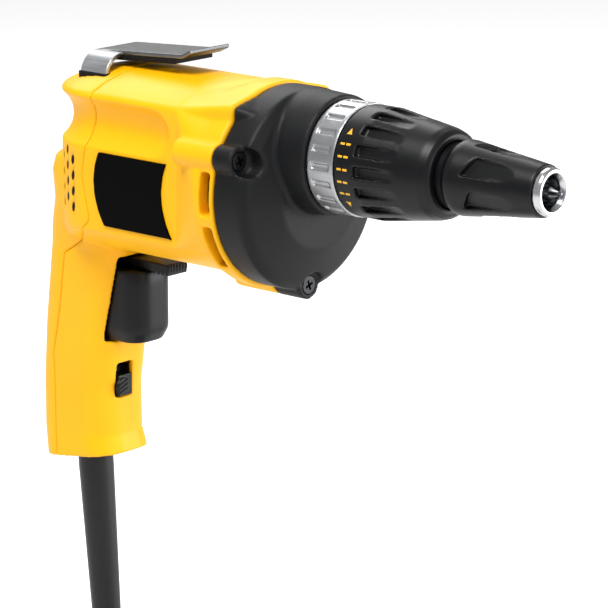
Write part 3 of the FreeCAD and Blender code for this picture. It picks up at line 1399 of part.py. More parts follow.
def plug(end, way):
    """Two-pin plug on the end of the cord, lying beside the coil."""
    lie = FreeCAD.Placement(end, FreeCAD.Rotation(Vec(0, 0, 1), math.degrees(math.atan2(way.y, way.x))))
    neck = S.plug_neck_radius
    corner = neck * ROUND_CORNER_SHARE
    sections = [(along, -neck, neck, -neck, neck, corner) for along in (sized(0), S.plug_neck)]
    for along, wide, tall in PLUG_SHARES:
        half = S.plug_half_width * wide
        high = S.plug_half_height * tall
        sections.append((S.plug_neck + S.plug_length * along, -half, half, -high, high, S.plug_corner))
    body = keep("plug_body", lofted("plug_body", "YZ_Plane", sections))
    body.Placement = lie
    face = S.plug_neck.value + S.plug_length.value
    thick = S.pin_thickness.value
    tall = S.pin_height.value
    pins = [Part.makeBox(S.pin_length.value, thick, tall,
                         Vec(face, side * S.pin_spacing.value / 2 - thick / 2, -tall / 2))
            for side in (-1, 1)]
    feature("plug_pins", Part.makeCompound(pins)).Placement = lie


# Assembly
def assemble():
    motor()
    armature_shaft()
    fan()
    brushes()
    bearing_plate()
    drive_gear()
    spindle()
    bit_holder()
    driver_bit()
    gear_case()
    detent_ring()
    depth_collar()
    nosepiece()
    trigger()
    switch_body()
    reverse_lever()
    lock_slider()
    belt_hook()
    springs()
    cord_boot()
    inner_lead()
    cord()
    nameplate("nameplate_right", -1)
    nameplate("nameplate_left", 1)
    bearing_pocket = rod("bearing_pocket", S.bearing_radius + S.thread_gap, S.bearing_width + S.overrun,
                         bearing_x, 0, S.motor_height)
    shell = housing_shell([hook_slot(), lock_slot(), boot_hole(), bearing_pocket])
    block = seam_block()
    keep("field_housing", cut("field_housing", shell, block))
    keep("handle_cover", common("handle_cover", shell, block))
    keep("cover_screws", fuse("cover_screws", *[cover_screw("cover_screw_" + name, height, share)
                                                for name, height, share in COVER_SEATS]))


def write_parts():
    """Check every object and every piece, then write one file for each piece."""
    doc.recompute()
    failed = [o.Name for o in doc.Objects if "Invalid" in o.State or "Error" in o.State]
    broken = [label for label, piece in nodes.items()
              if piece.Shape.isNull() or not piece.Shape.isValid() or piece.Shape.Volume <= 0]
    if failed or broken:
        raise RuntimeError("failed objects %s, broken pieces %s" % (failed, broken))
    for label, piece in nodes.items():
        piece.Shape.exportStep("parts/%s.step" % label)
    print("%d pieces written" % len(nodes))


assemble()
write_parts()
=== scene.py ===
"""Looks of a corded drywall screwdriver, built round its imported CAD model."""

import math

import bmesh
import bpy
from mathutils import Matrix, Vector


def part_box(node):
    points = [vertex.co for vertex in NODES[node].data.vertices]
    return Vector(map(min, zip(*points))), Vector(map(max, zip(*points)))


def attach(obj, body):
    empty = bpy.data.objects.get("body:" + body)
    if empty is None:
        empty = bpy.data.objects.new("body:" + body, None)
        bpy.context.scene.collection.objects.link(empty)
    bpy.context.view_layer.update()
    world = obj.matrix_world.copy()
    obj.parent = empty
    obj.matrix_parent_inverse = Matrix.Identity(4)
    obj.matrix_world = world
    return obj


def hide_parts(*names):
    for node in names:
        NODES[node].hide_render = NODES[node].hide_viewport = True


bl_info = {
    "name": "Drywall screwdriver",
    "version": (1, 0, 0),
    "blender": (4, 5, 0),
    "location": "View3D > Sidebar > Screwdriver",
    "description": "Builds the mouldings, metal parts, cord and stage of a corded drywall screwdriver",
    "category": "Object",
}

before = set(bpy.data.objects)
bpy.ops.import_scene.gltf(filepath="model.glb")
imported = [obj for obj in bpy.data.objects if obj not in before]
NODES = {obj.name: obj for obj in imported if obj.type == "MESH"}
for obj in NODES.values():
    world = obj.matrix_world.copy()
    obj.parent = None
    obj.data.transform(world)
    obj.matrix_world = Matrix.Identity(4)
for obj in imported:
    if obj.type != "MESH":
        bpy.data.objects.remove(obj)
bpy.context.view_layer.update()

MM = 0.001
SPINDLE_Z = 96.4 * MM
FORWARD = Vector((1, 0, 0))
UP = Vector((0, 0, 1))


def linear(code):
    """Linear red, green and blue of an sRGB hex colour."""
    parts = [int(code[i:i + 2], 16) / 255 for i in (1, 3, 5)]
    return [p / 12.92 if p <= 0.04045 else ((p + 0.055) / 1.055) ** 2.4 for p in parts]


def colour(label, code, words):
    """A colour that a user can change."""
    return bpy.props.FloatVectorProperty(name=label, description=words, subtype="COLOR", size=3,
                                         min=0, max=1, default=linear(code))


def length(label, millimetres, words):
    """A length that a user can change."""
    return bpy.props.FloatProperty(name=label, description=words, unit="LENGTH", min=0, precision=4,
                                   default=millimetres * MM)


class ScrewdriverColours(bpy.types.PropertyGroup):
    """Colours of the finishes."""

    housing: colour("Housing", "#FFB806", "Yellow of the moulded housing")
    case: colour("Case", "#0D0E10", "Black of the gear case")
    trim: colour("Trim", "#0A0B0D", "Black of the collar, nose, trigger and lever")
    plate: colour("Plate", "#030303", "Black of the side plates")
    steel: colour("Steel", "#C2C4C6", "Brushed steel of the belt hook")
    alloy: colour("Alloy", "#B4B5B7", "Satin alloy of the detent ring")
    plating: colour("Plating", "#C9CACC", "Plating of the locator ring")
    marks: colour("Marks", "#F2B418", "Printed marks on the collar")
    rubber: colour("Rubber", "#101113", "Black of the cord and its boot")
    floor: colour("Floor", "#F4F4F4", "Plain pale floor")


class ScrewdriverSizes(bpy.types.PropertyGroup):
    """Sizes of the moulded and machined detail."""

    housing_grid: length("Housing grid", 0.65, "Mesh spacing of the housing's skin")
    case_grid: length("Case grid", 0.8, "Mesh spacing of the gear case's skin")
    trim_grid: length("Trim grid", 0.5, "Mesh spacing of the small mouldings")
    vent_width: length("Vent width", 3.0, "Width of one cooling slit")
    vent_length: length("Vent length", 4.8, "Length of one cooling slit")
    cord_width: length("Cord width", 8.0, "Diameter of the cord")


def colours():
    """The colours as the user has set them."""
    return bpy.context.scene.screwdriver_colours


def sizes():
    """The sizes as the user has set them."""
    return bpy.context.scene.screwdriver_sizes


WELD_DISTANCE = 1e-6
EASE_FACTOR = 0.5
TURN_STEPS = 96


def linked(name, data):
    """A new object for finished data, at the origin."""
    made = bpy.data.objects.new(name, data)
    bpy.context.scene.collection.objects.link(made)
    return made


def from_bmesh(name, shape):
    """Close seams, turn faces outwards and hand the shape over as an object."""
    bmesh.ops.remove_doubles(shape, verts=shape.verts, dist=WELD_DISTANCE)
    bmesh.ops.recalc_face_normals(shape, faces=shape.faces)
    mesh = bpy.data.meshes.new(name)
    shape.to_mesh(mesh)
    shape.free()
    return linked(name, mesh)


def applied(made):
    """Replace an object's mesh by what its modifiers make of it."""
    ready = made.evaluated_get(bpy.context.evaluated_depsgraph_get())
    mesh = bpy.data.meshes.new_from_object(ready)
    made.modifiers.clear()
    old = made.data
    made.data = mesh
    bpy.data.meshes.remove(old)
    return made


def eased_over(made, grid, rounds, thin=1.0, still=""):
    """Even out a mesh on a grid and ease its sharp corners in rounds, as a mould leaves them.

    Thin is the share of faces kept. Nothing moves along a still axis, "y" or none.
    """
    even = made.modifiers.new("even", "REMESH")
    even.mode = "VOXEL"
    even.voxel_size = grid
    ease = made.modifiers.new("ease", "SMOOTH")
    ease.factor = EASE_FACTOR
    ease.iterations = rounds
    ease.use_y = still != "y"
    if thin < 1:
        fewer = made.modifiers.new("fewer", "DECIMATE")
        fewer.ratio = thin
    return applied(made)


def softened(name, node, grid, rounds, thin=1.0, added=None, still=""):
    """A CAD piece with its corners eased, and what is moulded on it."""
    shape = bmesh.new()
    shape.from_mesh(NODES[node].data)
    if added:
        added(shape)
    return eased_over(from_bmesh(name, shape), grid, rounds, thin, still)


def carved(made, shape):
    """Cut a shape out of an object."""
    cutter = from_bmesh("cutter", shape)
    cut = made.modifiers.new("cut", "BOOLEAN")
    cut.operation = "DIFFERENCE"
    cut.solver = "EXACT"
    cut.object = cutter
    applied(made)
    bpy.data.objects.remove(cutter)


def finished(made, material, body, slot, *nodes, flat=None):
    """Shade a piece, give it its material, and let it ride its body in place of its nodes."""
    made.data.materials.clear()
    made.data.materials.append(material)
    made.data.shade_smooth()
    if flat is not None:
        made.data.set_sharp_from_angle(angle=math.radians(flat))
    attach(made, body)
    if nodes:
        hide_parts(*nodes)


def turned(profile):
    """Spin a closed outline of (along, radius) points about the spindle axis."""
    shape = bmesh.new()
    corners = [shape.verts.new((x * MM, 0, SPINDLE_Z + r * MM)) for x, r in profile]
    edges = [shape.edges.new((a, b)) for a, b in zip(corners, corners[1:] + corners[:1])]
    bmesh.ops.spin(shape, geom=corners + edges, cent=(0, 0, SPINDLE_Z), axis=FORWARD, angle=math.tau,
                   steps=TURN_STEPS, use_merge=True)
    return shape


def rotation(degrees, axis):
    """A turn about one axis, by its letter."""
    return Matrix.Rotation(math.radians(degrees), 4, axis)


def block(shape, low, high, turn=None):
    """Add a box between two corners, in millimetres, turned if asked for."""
    size = [b - a for a, b in zip(low, high)]
    middle = Vector([(a + b) / 2 * MM for a, b in zip(low, high)])
    place = Matrix.Translation(middle) @ (turn or Matrix()) @ Matrix.Diagonal([s * MM for s in size] + [1])
    bmesh.ops.create_cube(shape, size=1, matrix=place)


def pip(shape, middle, half):
    """Add a smooth raised pip, in millimetres."""
    place = Matrix.Translation(Vector(middle) * MM) @ Matrix.Diagonal([h * MM for h in half] + [1])
    bmesh.ops.create_uvsphere(shape, u_segments=24, v_segments=12, radius=1, matrix=place)


def set_on(skin, start, way, size, lean, lift):
    """Placing of an oval on a skin, square to it where a line meets it, turned by lean degrees."""
    graph = bpy.context.evaluated_depsgraph_get()
    met, place, normal, _ = skin.ray_cast(start, way, depsgraph=graph)
    if not met:
        raise RuntimeError("a mark misses its skin")
    across = UP.cross(normal).normalized()
    turn = Matrix((across, normal.cross(across), normal)).transposed().to_4x4()
    return (Matrix.Translation(place + normal * lift) @ turn @ rotation(lean, "Z")
            @ Matrix.Diagonal((*size, 1)))


def add(tree, kind, values=None, links=None, **settings):
    """Add one shader node with its settings, socket values and incoming links."""
    made = tree.nodes.new("ShaderNode" + kind)
    for key, value in settings.items():
        setattr(made, key, value)
    for socket, value in (values or {}).items():
        made.inputs[socket].default_value = value
    for socket, source in (links or {}).items():
        tree.links.new(source, made.inputs[socket])
    return made


def surface(name, values, links_of):
    """A new material whose principled shader takes plain values, and links from links_of(tree)."""
    made = bpy.data.materials.new(name)
    made.use_nodes = True
    tree = made.node_tree
    tree.nodes.clear()
    shader = add(tree, "BsdfPrincipled", values, links_of(tree))
    add(tree, "OutputMaterial", links={"Surface": shader.outputs["BSDF"]})
    return made


def opaque(rgb):
    """A colour with full cover."""
    return (*rgb, 1.0)


def scaled(rgb, factor):
    """A lighter or darker colour, with full cover."""
    return opaque([min(1.0, c * factor) for c in rgb])


def two_tone(tree, source, span, dark, light):
    """Ramp from a dark to a light colour over a span of a source's values."""
    ramp = add(tree, "ValToRGB", links={"Fac": source})
    for stop, position, tone in zip(ramp.color_ramp.elements, span, (dark, light)):
        stop.position = position
        stop.color = tone
    return ramp.outputs["Color"]


# Moulded plastic: refraction, strength of its grain, how far its gloss varies, how much broader than the
# grain its mottling is and the noise between which it changes, and the sharpness of edge, as pointiness,
# where the painted highlight on edges begins and where it is full
PLASTIC_IOR = 1.5
GRAIN_STRENGTH = 0.6
GLOSS_SPREAD = 0.06
MOTTLE_BROADER = 40
MOTTLE_SPAN = (0.3, 0.7)
EDGE_HIGHLIGHT_SPAN = (0.5, 0.62)
# Metal: strength of its lines, the noise between which they change, and its least and most roughness as
# shares
LINES_STRENGTH = 0.4
LINES_SPAN = (0.35, 0.65)
ROUGHNESS_SHARES = (0.8, 1.25)


def moulded(name, rgb, roughness, grain, depth, mottle, specular=0.5, edge=0.0):
    """Moulded plastic: a fine even grain off the mould's face and a little mottling in the colour.

    Grain and depth are in metres. Edge is how much its sharp edges are lightened, as a painted highlight.
    """
    def links_of(tree):
        where = add(tree, "TexCoord").outputs["Object"]
        fine = add(tree, "TexNoise", {"Scale": 1 / grain, "Detail": 3.0}, {"Vector": where})
        broad = add(tree, "TexNoise", {"Scale": 1 / (MOTTLE_BROADER * grain), "Detail": 2.0},
                    {"Vector": where})
        bump = add(tree, "Bump", {"Strength": GRAIN_STRENGTH, "Distance": depth},
                   {"Height": fine.outputs["Fac"]})
        tint = two_tone(tree, broad.outputs["Fac"], MOTTLE_SPAN, scaled(rgb, 1 - mottle),
                        scaled(rgb, 1 + mottle))
        # Painted highlight: sharp edges, found by pointiness, are lightened
        if edge:
            sharp = add(tree, "NewGeometry").outputs["Pointiness"]
            edge_highlight = two_tone(tree, sharp, EDGE_HIGHLIGHT_SPAN, (0, 0, 0, 1), (1, 1, 1, 1))
            tint = add(tree, "MixRGB", {"Color2": scaled([c + edge for c in rgb], 1)},
                       {"Fac": edge_highlight, "Color1": tint}).outputs["Color"]
        gloss = add(tree, "MapRange",
                    {"To Min": roughness - GLOSS_SPREAD, "To Max": roughness + GLOSS_SPREAD},
                    {"Value": fine.outputs["Fac"]})
        return {"Base Color": tint, "Roughness": gloss.outputs["Result"], "Normal": bump.outputs["Normal"]}
    return surface(name, {"IOR": PLASTIC_IOR, "Specular IOR Level": specular}, links_of)


def metal(name, rgb, roughness, spacing, run, depth, contrast, painted_shade=None):
    """Metal with fine tool or brush lines: spacing of patches and run of the lines, per axis in metres.

    A painted shade darkens it along Y, from one place to another, by a factor.
    """
    def links_of(tree):
        where = add(tree, "TexCoord").outputs["Object"]
        lines = add(tree, "Mapping", {"Scale": [1 / r for r in run]}, {"Vector": where})
        brush = add(tree, "TexNoise", {"Scale": 1.0, "Detail": 4.0}, {"Vector": lines.outputs["Vector"]})
        patch = add(tree, "TexNoise", {"Scale": 1 / spacing, "Detail": 2.0}, {"Vector": where})
        tint = two_tone(tree, brush.outputs["Fac"], LINES_SPAN, scaled(rgb, 1 - contrast),
                        scaled(rgb, 1 + contrast))
        least, most = ROUGHNESS_SHARES
        gloss = add(tree, "MapRange", {"To Min": roughness * least, "To Max": roughness * most},
                    {"Value": patch.outputs["Fac"]})
        bump = add(tree, "Bump", {"Strength": LINES_STRENGTH, "Distance": depth},
                   {"Height": brush.outputs["Fac"]})
        # Painted shade: darker along Y, by a factor
        if painted_shade:
            start, end, factor = painted_shade
            across = add(tree, "SeparateXYZ", links={"Vector": where}).outputs["Y"]
            share = add(tree, "MapRange", {"From Min": start, "From Max": end}, {"Value": across})
            tint = add(tree, "MixRGB", {"Color2": opaque([factor] * 3)},
                       {"Fac": share.outputs["Result"], "Color1": tint},
                       blend_type="MULTIPLY").outputs["Color"]
        return {"Base Color": tint, "Roughness": gloss.outputs["Result"], "Normal": bump.outputs["Normal"]}
    return surface(name, {"Metallic": 1.0}, links_of)


FINISHES = {}


def finish(name):
    """The material of a finish."""
    return FINISHES[name]


class SCREWDRIVER_OT_finishes(bpy.types.Operator):
    """Make the materials of the mouldings, metals and cord"""

    bl_idname = "screwdriver.finishes"
    bl_label = "Finishes"

    def execute(self, context):
        c = colours()
        # Glass-filled nylon from a spark-eroded mould: an even satin. Its 0.2 mm grain is drawn at
        # 0.7 mm, as fine as the render can show.
        FINISHES["yellow_nylon"] = moulded(
            "glass_filled_nylon_yellow", c.housing, roughness=0.42, grain=0.7 * MM, depth=0.03 * MM,
            mottle=0.025, specular=0.25)
        # The same nylon in black with a coarser, matt grain: its sharp edges lightened as a painted
        # highlight.
        FINISHES["black_case"] = moulded(
            "glass_filled_nylon_black", c.case, roughness=0.5, grain=0.8 * MM, depth=0.06 * MM,
            mottle=0.06, specular=0.22, edge=0.01)
        # Acetal: smoother than the case, with a soft gloss on rounded ribs, and its sharp edges lightened as
        # a painted highlight.
        FINISHES["black_trim"] = moulded(
            "acetal_black", c.trim, roughness=0.36, grain=0.6 * MM, depth=0.03 * MM, mottle=0.05,
            specular=0.25, edge=0.01)
        # Plain polyester sheet: nearly flat and hardly shining.
        FINISHES["black_plate"] = moulded(
            "polyester_sheet_black", c.plate, roughness=0.3, grain=1.5 * MM, depth=0.01 * MM, mottle=0.05,
            specular=0.04)
        # Thermoplastic rubber liner: matt and dull.
        FINISHES["black_liner"] = moulded(
            "thermoplastic_rubber", c.rubber, roughness=0.68, grain=0.7 * MM, depth=0.04 * MM, mottle=0.08,
            specular=0.2)
        # PVC cord sheath and boot: drawn smooth, with a soft sheen.
        FINISHES["cord_sheath"] = moulded(
            "flexible_pvc_black", c.rubber, roughness=0.42, grain=1.2 * MM, depth=0.02 * MM, mottle=0.08,
            specular=0.35)
        # Printed ink for the setting marks.
        FINISHES["ink"] = moulded(
            "printing_ink_yellow", c.marks, roughness=0.45, grain=0.5 * MM, depth=0.01 * MM, mottle=0.04)
        # Steel strip brushed along its length, then bent: the bend is bright, and the blade is darkened
        # along Y as painted shade, standing in for the dark reflection it shows.
        FINISHES["hook_steel"] = metal(
            "brushed_spring_steel", c.steel, roughness=0.36, spacing=6 * MM,
            run=(12 * MM, 0.5 * MM, 0.5 * MM), depth=0.02 * MM, contrast=0.12,
            painted_shade=(-18.5 * MM, -8 * MM, 0.22))
        # Turned and bead-blasted aluminium: a satin that spreads highlights.
        FINISHES["ring_alloy"] = metal(
            "blasted_aluminium", c.alloy, roughness=0.34, spacing=3 * MM,
            run=(0.6 * MM, 0.6 * MM, 0.6 * MM), depth=0.02 * MM, contrast=0.05)
        # Nickel plate over turned steel: bright, with faint rings.
        FINISHES["tip_steel"] = metal(
            "nickel_plated_steel", c.plating, roughness=0.2, spacing=4 * MM,
            run=(0.4 * MM, 3 * MM, 3 * MM), depth=0.01 * MM, contrast=0.06)
        # Hardened tool steel, phosphated: dark grey with a dull shine.
        FINISHES["tool_steel"] = metal(
            "phosphated_tool_steel", linear("#77797C"), roughness=0.36, spacing=3 * MM,
            run=(0.5 * MM, 2 * MM, 2 * MM), depth=0.01 * MM, contrast=0.1)
        # Black oxide screws: nearly black, oily shine in the recess.
        FINISHES["black_screws"] = metal(
            "black_oxide_steel", linear("#3A3B3D"), roughness=0.38, spacing=2 * MM,
            run=(0.6 * MM, 0.6 * MM, 0.6 * MM), depth=0.01 * MM, contrast=0.12)
        # Drawn spring wire.
        FINISHES["spring_steel"] = metal(
            "drawn_spring_wire", linear("#8D8F92"), roughness=0.3, spacing=2 * MM,
            run=(0.5 * MM, 0.5 * MM, 0.5 * MM), depth=0.005 * MM, contrast=0.08)
        # Ground bearing steel.
        FINISHES["bearing_steel"] = metal(
            "ground_bearing_steel", linear("#B5B7BA"), roughness=0.22, spacing=3 * MM,
            run=(3 * MM, 0.4 * MM, 0.4 * MM), depth=0.005 * MM, contrast=0.05)
        # Sintered bronze: warm, dull and porous.
        FINISHES["bronze"] = metal(
            "sintered_bronze", linear("#A9793F"), roughness=0.45, spacing=1.5 * MM,
            run=(0.5 * MM, 0.5 * MM, 0.5 * MM), depth=0.02 * MM, contrast=0.12)
        # Stacked electrical sheet: fine dark lines square to the shaft.
        FINISHES["core_steel"] = metal(
            "laminated_sheet_steel", linear("#6D6F72"), roughness=0.42, spacing=4 * MM,
            run=(0.7 * MM, 30 * MM, 30 * MM), depth=0.03 * MM, contrast=0.22)
        # Enamelled copper wire, wound along the core.
        FINISHES["copper"] = metal(
            "enamelled_copper_wire", linear("#A4552B"), roughness=0.3, spacing=3 * MM,
            run=(20 * MM, 0.8 * MM, 0.8 * MM), depth=0.04 * MM, contrast=0.2)
        # Pressed carbon: matt black with a faint graphite glint.
        FINISHES["carbon"] = moulded(
            "pressed_carbon", linear("#1B1B1C"), roughness=0.6, grain=0.5 * MM, depth=0.03 * MM,
            mottle=0.15)
        # Plain grey mouldings inside the tool.
        FINISHES["grey_moulding"] = moulded(
            "polyamide_grey", linear("#4A4B4E"), roughness=0.48, grain=0.8 * MM, depth=0.03 * MM,
            mottle=0.05)
        # Woven polyamide strap that ties the coil.
        FINISHES["tie_strap"] = moulded(
            "polyamide_strap", linear("#1A1A1B"), roughness=0.6, grain=0.9 * MM, depth=0.08 * MM,
            mottle=0.2)
        # Stamped brass plug blades.
        FINISHES["pin_brass"] = metal(
            "stamped_brass", linear("#C9A557"), roughness=0.25, spacing=3 * MM,
            run=(4 * MM, 0.5 * MM, 0.5 * MM), depth=0.005 * MM, contrast=0.06)
        return {"FINISHED"}


def dress(name, *nodes):
    """Give carried-over CAD nodes a finish."""
    for node in nodes:
        for place in NODES[node].material_slots:
            place.material = finish(name)


# From here on, places and sizes of detail are in millimetres, and angles in degrees.

# Cooling slits on both sides of the rear, in staggered columns: the angle of a column round an upright
# axis, from straight back, and the height of its top slit
SLIT_COLUMNS = [(56, 83), (65, 86.5), (74, 83)]
SLIT_ROWS = 4
SLIT_STEP = 6.8
SLIT_AXIS_X = 32.5
SLIT_LEAN = -20
SLIT_OUTSIDE = 100
SLIT_CUT = 5
# Dark sheet sunk in each slit as painted shade: its thickness and how far below the skin it sits
SHADE_SHEET_THICKNESS = 1.4
SHADE_SHEET_SINK = 1.1
# Raised pip on the roof: its middle and half sizes
ROOF_PIP = (51, -4, 121.1), (5.0, 1.7, 1.1)


class SCREWDRIVER_OT_housing(bpy.types.Operator):
    """Mould the yellow housing and its rear cover, with cooling slits and side plates"""

    bl_idname = "screwdriver.housing"
    bl_label = "Housing"

    def execute(self, context):
        grid = sizes().housing_grid
        front = softened("housing_front", "field_housing", grid, rounds=7, thin=0.4, added=self.roof_pip)
        finished(front, finish("yellow_nylon"), "tool", "yellow_moulding", "field_housing")
        rear = softened("housing_rear", "handle_cover", grid, rounds=7, thin=0.6)
        slits, shade_sheet = self.slits(rear)
        carved(rear, slits)
        finished(rear, finish("yellow_nylon"), "tool", "yellow_moulding", "handle_cover")
        # The dark sheet in the slits is painted shade
        finished(from_bmesh("slit_shade_sheet", shade_sheet), finish("black_liner"), "tool", "black_liner", flat=30)
        for node in ("nameplate_left", "nameplate_right"):
            plate = softened(node.replace("nameplate", "side_plate"), node, grid=0.3 * MM, rounds=300,
                             thin=0.5, still="y")
            finished(plate, finish("black_plate"), "tool", "black_plate", node)
        return {"FINISHED"}

    def roof_pip(self, shape):
        """Small raised sighting pip on the roof."""
        pip(shape, *ROOF_PIP)

    def slits(self, skin):
        """Cutter of the cooling slits, and the dark sheet at their bottoms, painted shade for their insides.
        """
        cutter, shade_sheet = bmesh.new(), bmesh.new()
        wide, tall = sizes().vent_width, sizes().vent_length
        for side in (1, -1):
            for angle, top in SLIT_COLUMNS:
                turn = math.radians(angle)
                out = Vector((-math.cos(turn), side * math.sin(turn), 0))
                for row in range(SLIT_ROWS):
                    start = Vector((SLIT_AXIS_X, 0, top - row * SLIT_STEP)) * MM + out * SLIT_OUTSIDE * MM
                    for shape, deep, sink in ((cutter, SLIT_CUT, 0), (shade_sheet, SHADE_SHEET_THICKNESS, SHADE_SHEET_SINK)):
                        place = set_on(skin, start, -out, (wide, tall, deep * MM), -side * SLIT_LEAN,
                                       -sink * MM)
                        bmesh.ops.create_cone(shape, cap_ends=True, segments=16, radius1=0.5, radius2=0.5,
                                              depth=1, matrix=place)
        return cutter, shade_sheet


# Screws: name, CAD node, axes as across and up, and the way they face along X
SCREWS = [("case_bolts", "gear_case_screws", [(-37.0, 96.47), (37.0, 96.47), (0, 39.5)], 1),
          ("cover_bolts", "cover_screws", [(0, 44.0), (0, -28.0)], -1)]
SCREW_REACH = 4.5
# The two arms of their cross recesses
RECESS_TURNS = (20, 110)
RECESS_REACH = 2.2
RECESS_WIDTH = 1.1
RECESS_DEPTH = 1.5


class SCREWDRIVER_OT_case(bpy.types.Operator):
    """Mould the black gear case and fit its screws"""

    bl_idname = "screwdriver.case"
    bl_label = "Gear case"

    def execute(self, context):
        case = softened("front_case", "gear_case", sizes().case_grid, rounds=5, thin=0.7)
        finished(case, finish("black_case"), "tool", "black_case", "gear_case")
        for name, node, axes, way in SCREWS:
            bolts = softened(name, node, grid=0.25 * MM, rounds=2)
            fronts = [Vector((self.front_of(node, y, z, way), y, z)) for y, z in axes]
            # One arm at a time, since cutters that cross each other spoil the cut
            for turn in RECESS_TURNS:
                arms = bmesh.new()
                for front in fronts:
                    size = Vector((RECESS_DEPTH, RECESS_REACH, RECESS_WIDTH / 2))
                    block(arms, front - size, front + size, rotation(turn, "X"))
                carved(bolts, arms)
            finished(bolts, finish("black_screws"), "tool", "black_screws", node, flat=40)
        return {"FINISHED"}

    def front_of(self, node, y, z, way):
        """Where the screw on an axis ends along X."""
        points = [v.co / MM for v in NODES[node].data.vertices]
        return max(p.x * way for p in points if math.hypot(p.y - y, p.z - z) < SCREW_REACH) * way


# Setting marks on the rear band of the collar, each by its angle up from the near side: arrowheads at the
# ends, with their turn, and pairs of dashes between; their half sizes are along and round the collar
ARROWS = [(40, 0), (-38, 180)]
ARROW_HALF = (1.5, 1.9)
DASHES = [27, 14, 1, -12, -25]
DASH_HALF = (1.1, 0.45)
DASH_PLACES = (-1.5, 1.5)
MARKS_X = 165.2
MARKS_RADIUS = 22.95
MARKS_INNER = 0.985

# Radii of the nose's sleeve and bore, and its outline from the sleeve's end on, (along, radius)
NOSE_SLEEVE = 13.3
NOSE_BORE = 9.0
NOSE_OUTLINE = [(208.1, NOSE_SLEEVE), (210.3, 15.2), (212.5, 15.2), (249.9, 10.5), (249.9, NOSE_BORE)]
# Flutes of the nose: their angles round it, where they start, how far off the axis their middle lies, and
# the sizes of the block that cuts one, whose rear end is slanted
FLUTE_ANGLES = [33 + 60 * k for k in range(6)]
FLUTE_X = 219.5
FLUTE_RADIUS = 14.4
FLUTE_LENGTH = 36
FLUTE_REAR, FLUTE_FRONT = 8.4, 5
FLUTE_HEIGHT = 5.6
FLUTE_SLANT = 5.0


class SCREWDRIVER_OT_nose(bpy.types.Operator):
    """Make the detent ring, depth collar, nosepiece, locator ring and bit"""

    bl_idname = "screwdriver.nose"
    bl_label = "Nose"

    def execute(self, context):
        ring = softened("click_ring", "detent_ring", grid=0.3 * MM, rounds=8, thin=0.5)
        finished(ring, finish("ring_alloy"), "tool", "ring_alloy", "detent_ring")
        collar = softened("setting_collar", "depth_collar", sizes().trim_grid, rounds=3, thin=0.6)
        finished(collar, finish("black_trim"), "collar", "black_moulding", "depth_collar")
        marks = from_bmesh("setting_marks", self.marks())
        finished(marks, finish("ink"), "collar", "black_moulding", flat=30)
        finished(self.nose(), finish("black_trim"), "nose", "black_moulding", "nosepiece")
        tip = softened("screw_guide", "locator_tip", grid=0.3 * MM, rounds=2)
        finished(tip, finish("tip_steel"), "nose", "tip_steel", "locator_tip")
        dress("tool_steel", "driver_bit", "bit_holder", "spindle", "drive_gear", "armature_shaft")
        return {"FINISHED"}

    def marks(self):
        """Printed arrowheads and dashes, drawn flat as (along, round) and wrapped on the collar."""
        shape = bmesh.new()
        drawn = []
        for angle, turn in ARROWS:
            place = rotation(turn, "Z") @ Matrix.Diagonal([h * MM for h in ARROW_HALF] + [1, 1])
            made = bmesh.ops.create_circle(shape, cap_ends=True, segments=3, radius=1, matrix=place)
            drawn.append((made["verts"], angle))
        for angle in DASHES:
            for along in DASH_PLACES:
                place = (Matrix.Translation((along * MM, 0, 0))
                         @ Matrix.Diagonal([h * MM for h in DASH_HALF] + [1, 1]))
                made = bmesh.ops.create_grid(shape, x_segments=1, y_segments=2, size=1, matrix=place)
                drawn.append((made["verts"], angle))
        radius = MARKS_RADIUS * MM
        for corners, angle in drawn:
            for corner in corners:
                turn = math.radians(angle) + corner.co.y / radius
                corner.co = (MARKS_X * MM + corner.co.x, -radius * math.cos(turn),
                             SPINDLE_Z + radius * math.sin(turn))
        pulled = bmesh.ops.extrude_face_region(shape, geom=shape.faces[:])["geom"]
        for corner in pulled:
            if isinstance(corner, bmesh.types.BMVert):
                corner.co.y *= MARKS_INNER
                corner.co.z = SPINDLE_Z + (corner.co.z - SPINDLE_Z) * MARKS_INNER
        return shape

    def nose(self):
        """Tapered nose with six scooped flutes that start on a slant."""
        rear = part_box("nosepiece")[0][0] / MM
        made = from_bmesh("nose_cone", turned([(rear, NOSE_BORE), (rear, NOSE_SLEEVE)] + NOSE_OUTLINE))
        scoops = bmesh.new()
        for angle in FLUTE_ANGLES:
            place = (Matrix.Translation((FLUTE_X * MM, 0, SPINDLE_Z)) @ rotation(90 - angle, "X")
                     @ Matrix.Translation((0, 0, FLUTE_RADIUS * MM)))
            for corner in bmesh.ops.create_cube(scoops, size=1)["verts"]:
                front = corner.co.x > 0
                along = FLUTE_LENGTH if front else corner.co.y * FLUTE_SLANT
                across = corner.co.y * (FLUTE_FRONT if front else FLUTE_REAR)
                corner.co = place @ (Vector((along, across, corner.co.z * FLUTE_HEIGHT)) * MM)
        carved(made, scoops)
        return eased_over(made, sizes().trim_grid, rounds=4)


# Teeth across the lever's tip: their number and place, how much of the lever is its tip, and their half
# sizes along, across as a share of their pitch, and up
TEETH = 7
TEETH_Z = 35.1
TEETH_SET_BACK = 0.2
TIP_LENGTH = 2
TOOTH_HALF = (1.0, 0.42, 2.0)
# Thumb pad of the lock slider, ahead of its front: middle, radii behind and ahead, thickness, and the
# corners and steps of its slanted ribs
PAD_MIDDLE = (0.3, -4.0, -22.2)
PAD_RADII = (4.2, 3.8)
PAD_THICKNESS = 1.1
RIB_LOW, RIB_HIGH = Vector((0.5, -7.4, -22.65)), Vector((1.5, -1.2, -21.75))
RIB_STEPS = (-1.9, 0, 1.9)
RIB_TURN = 20


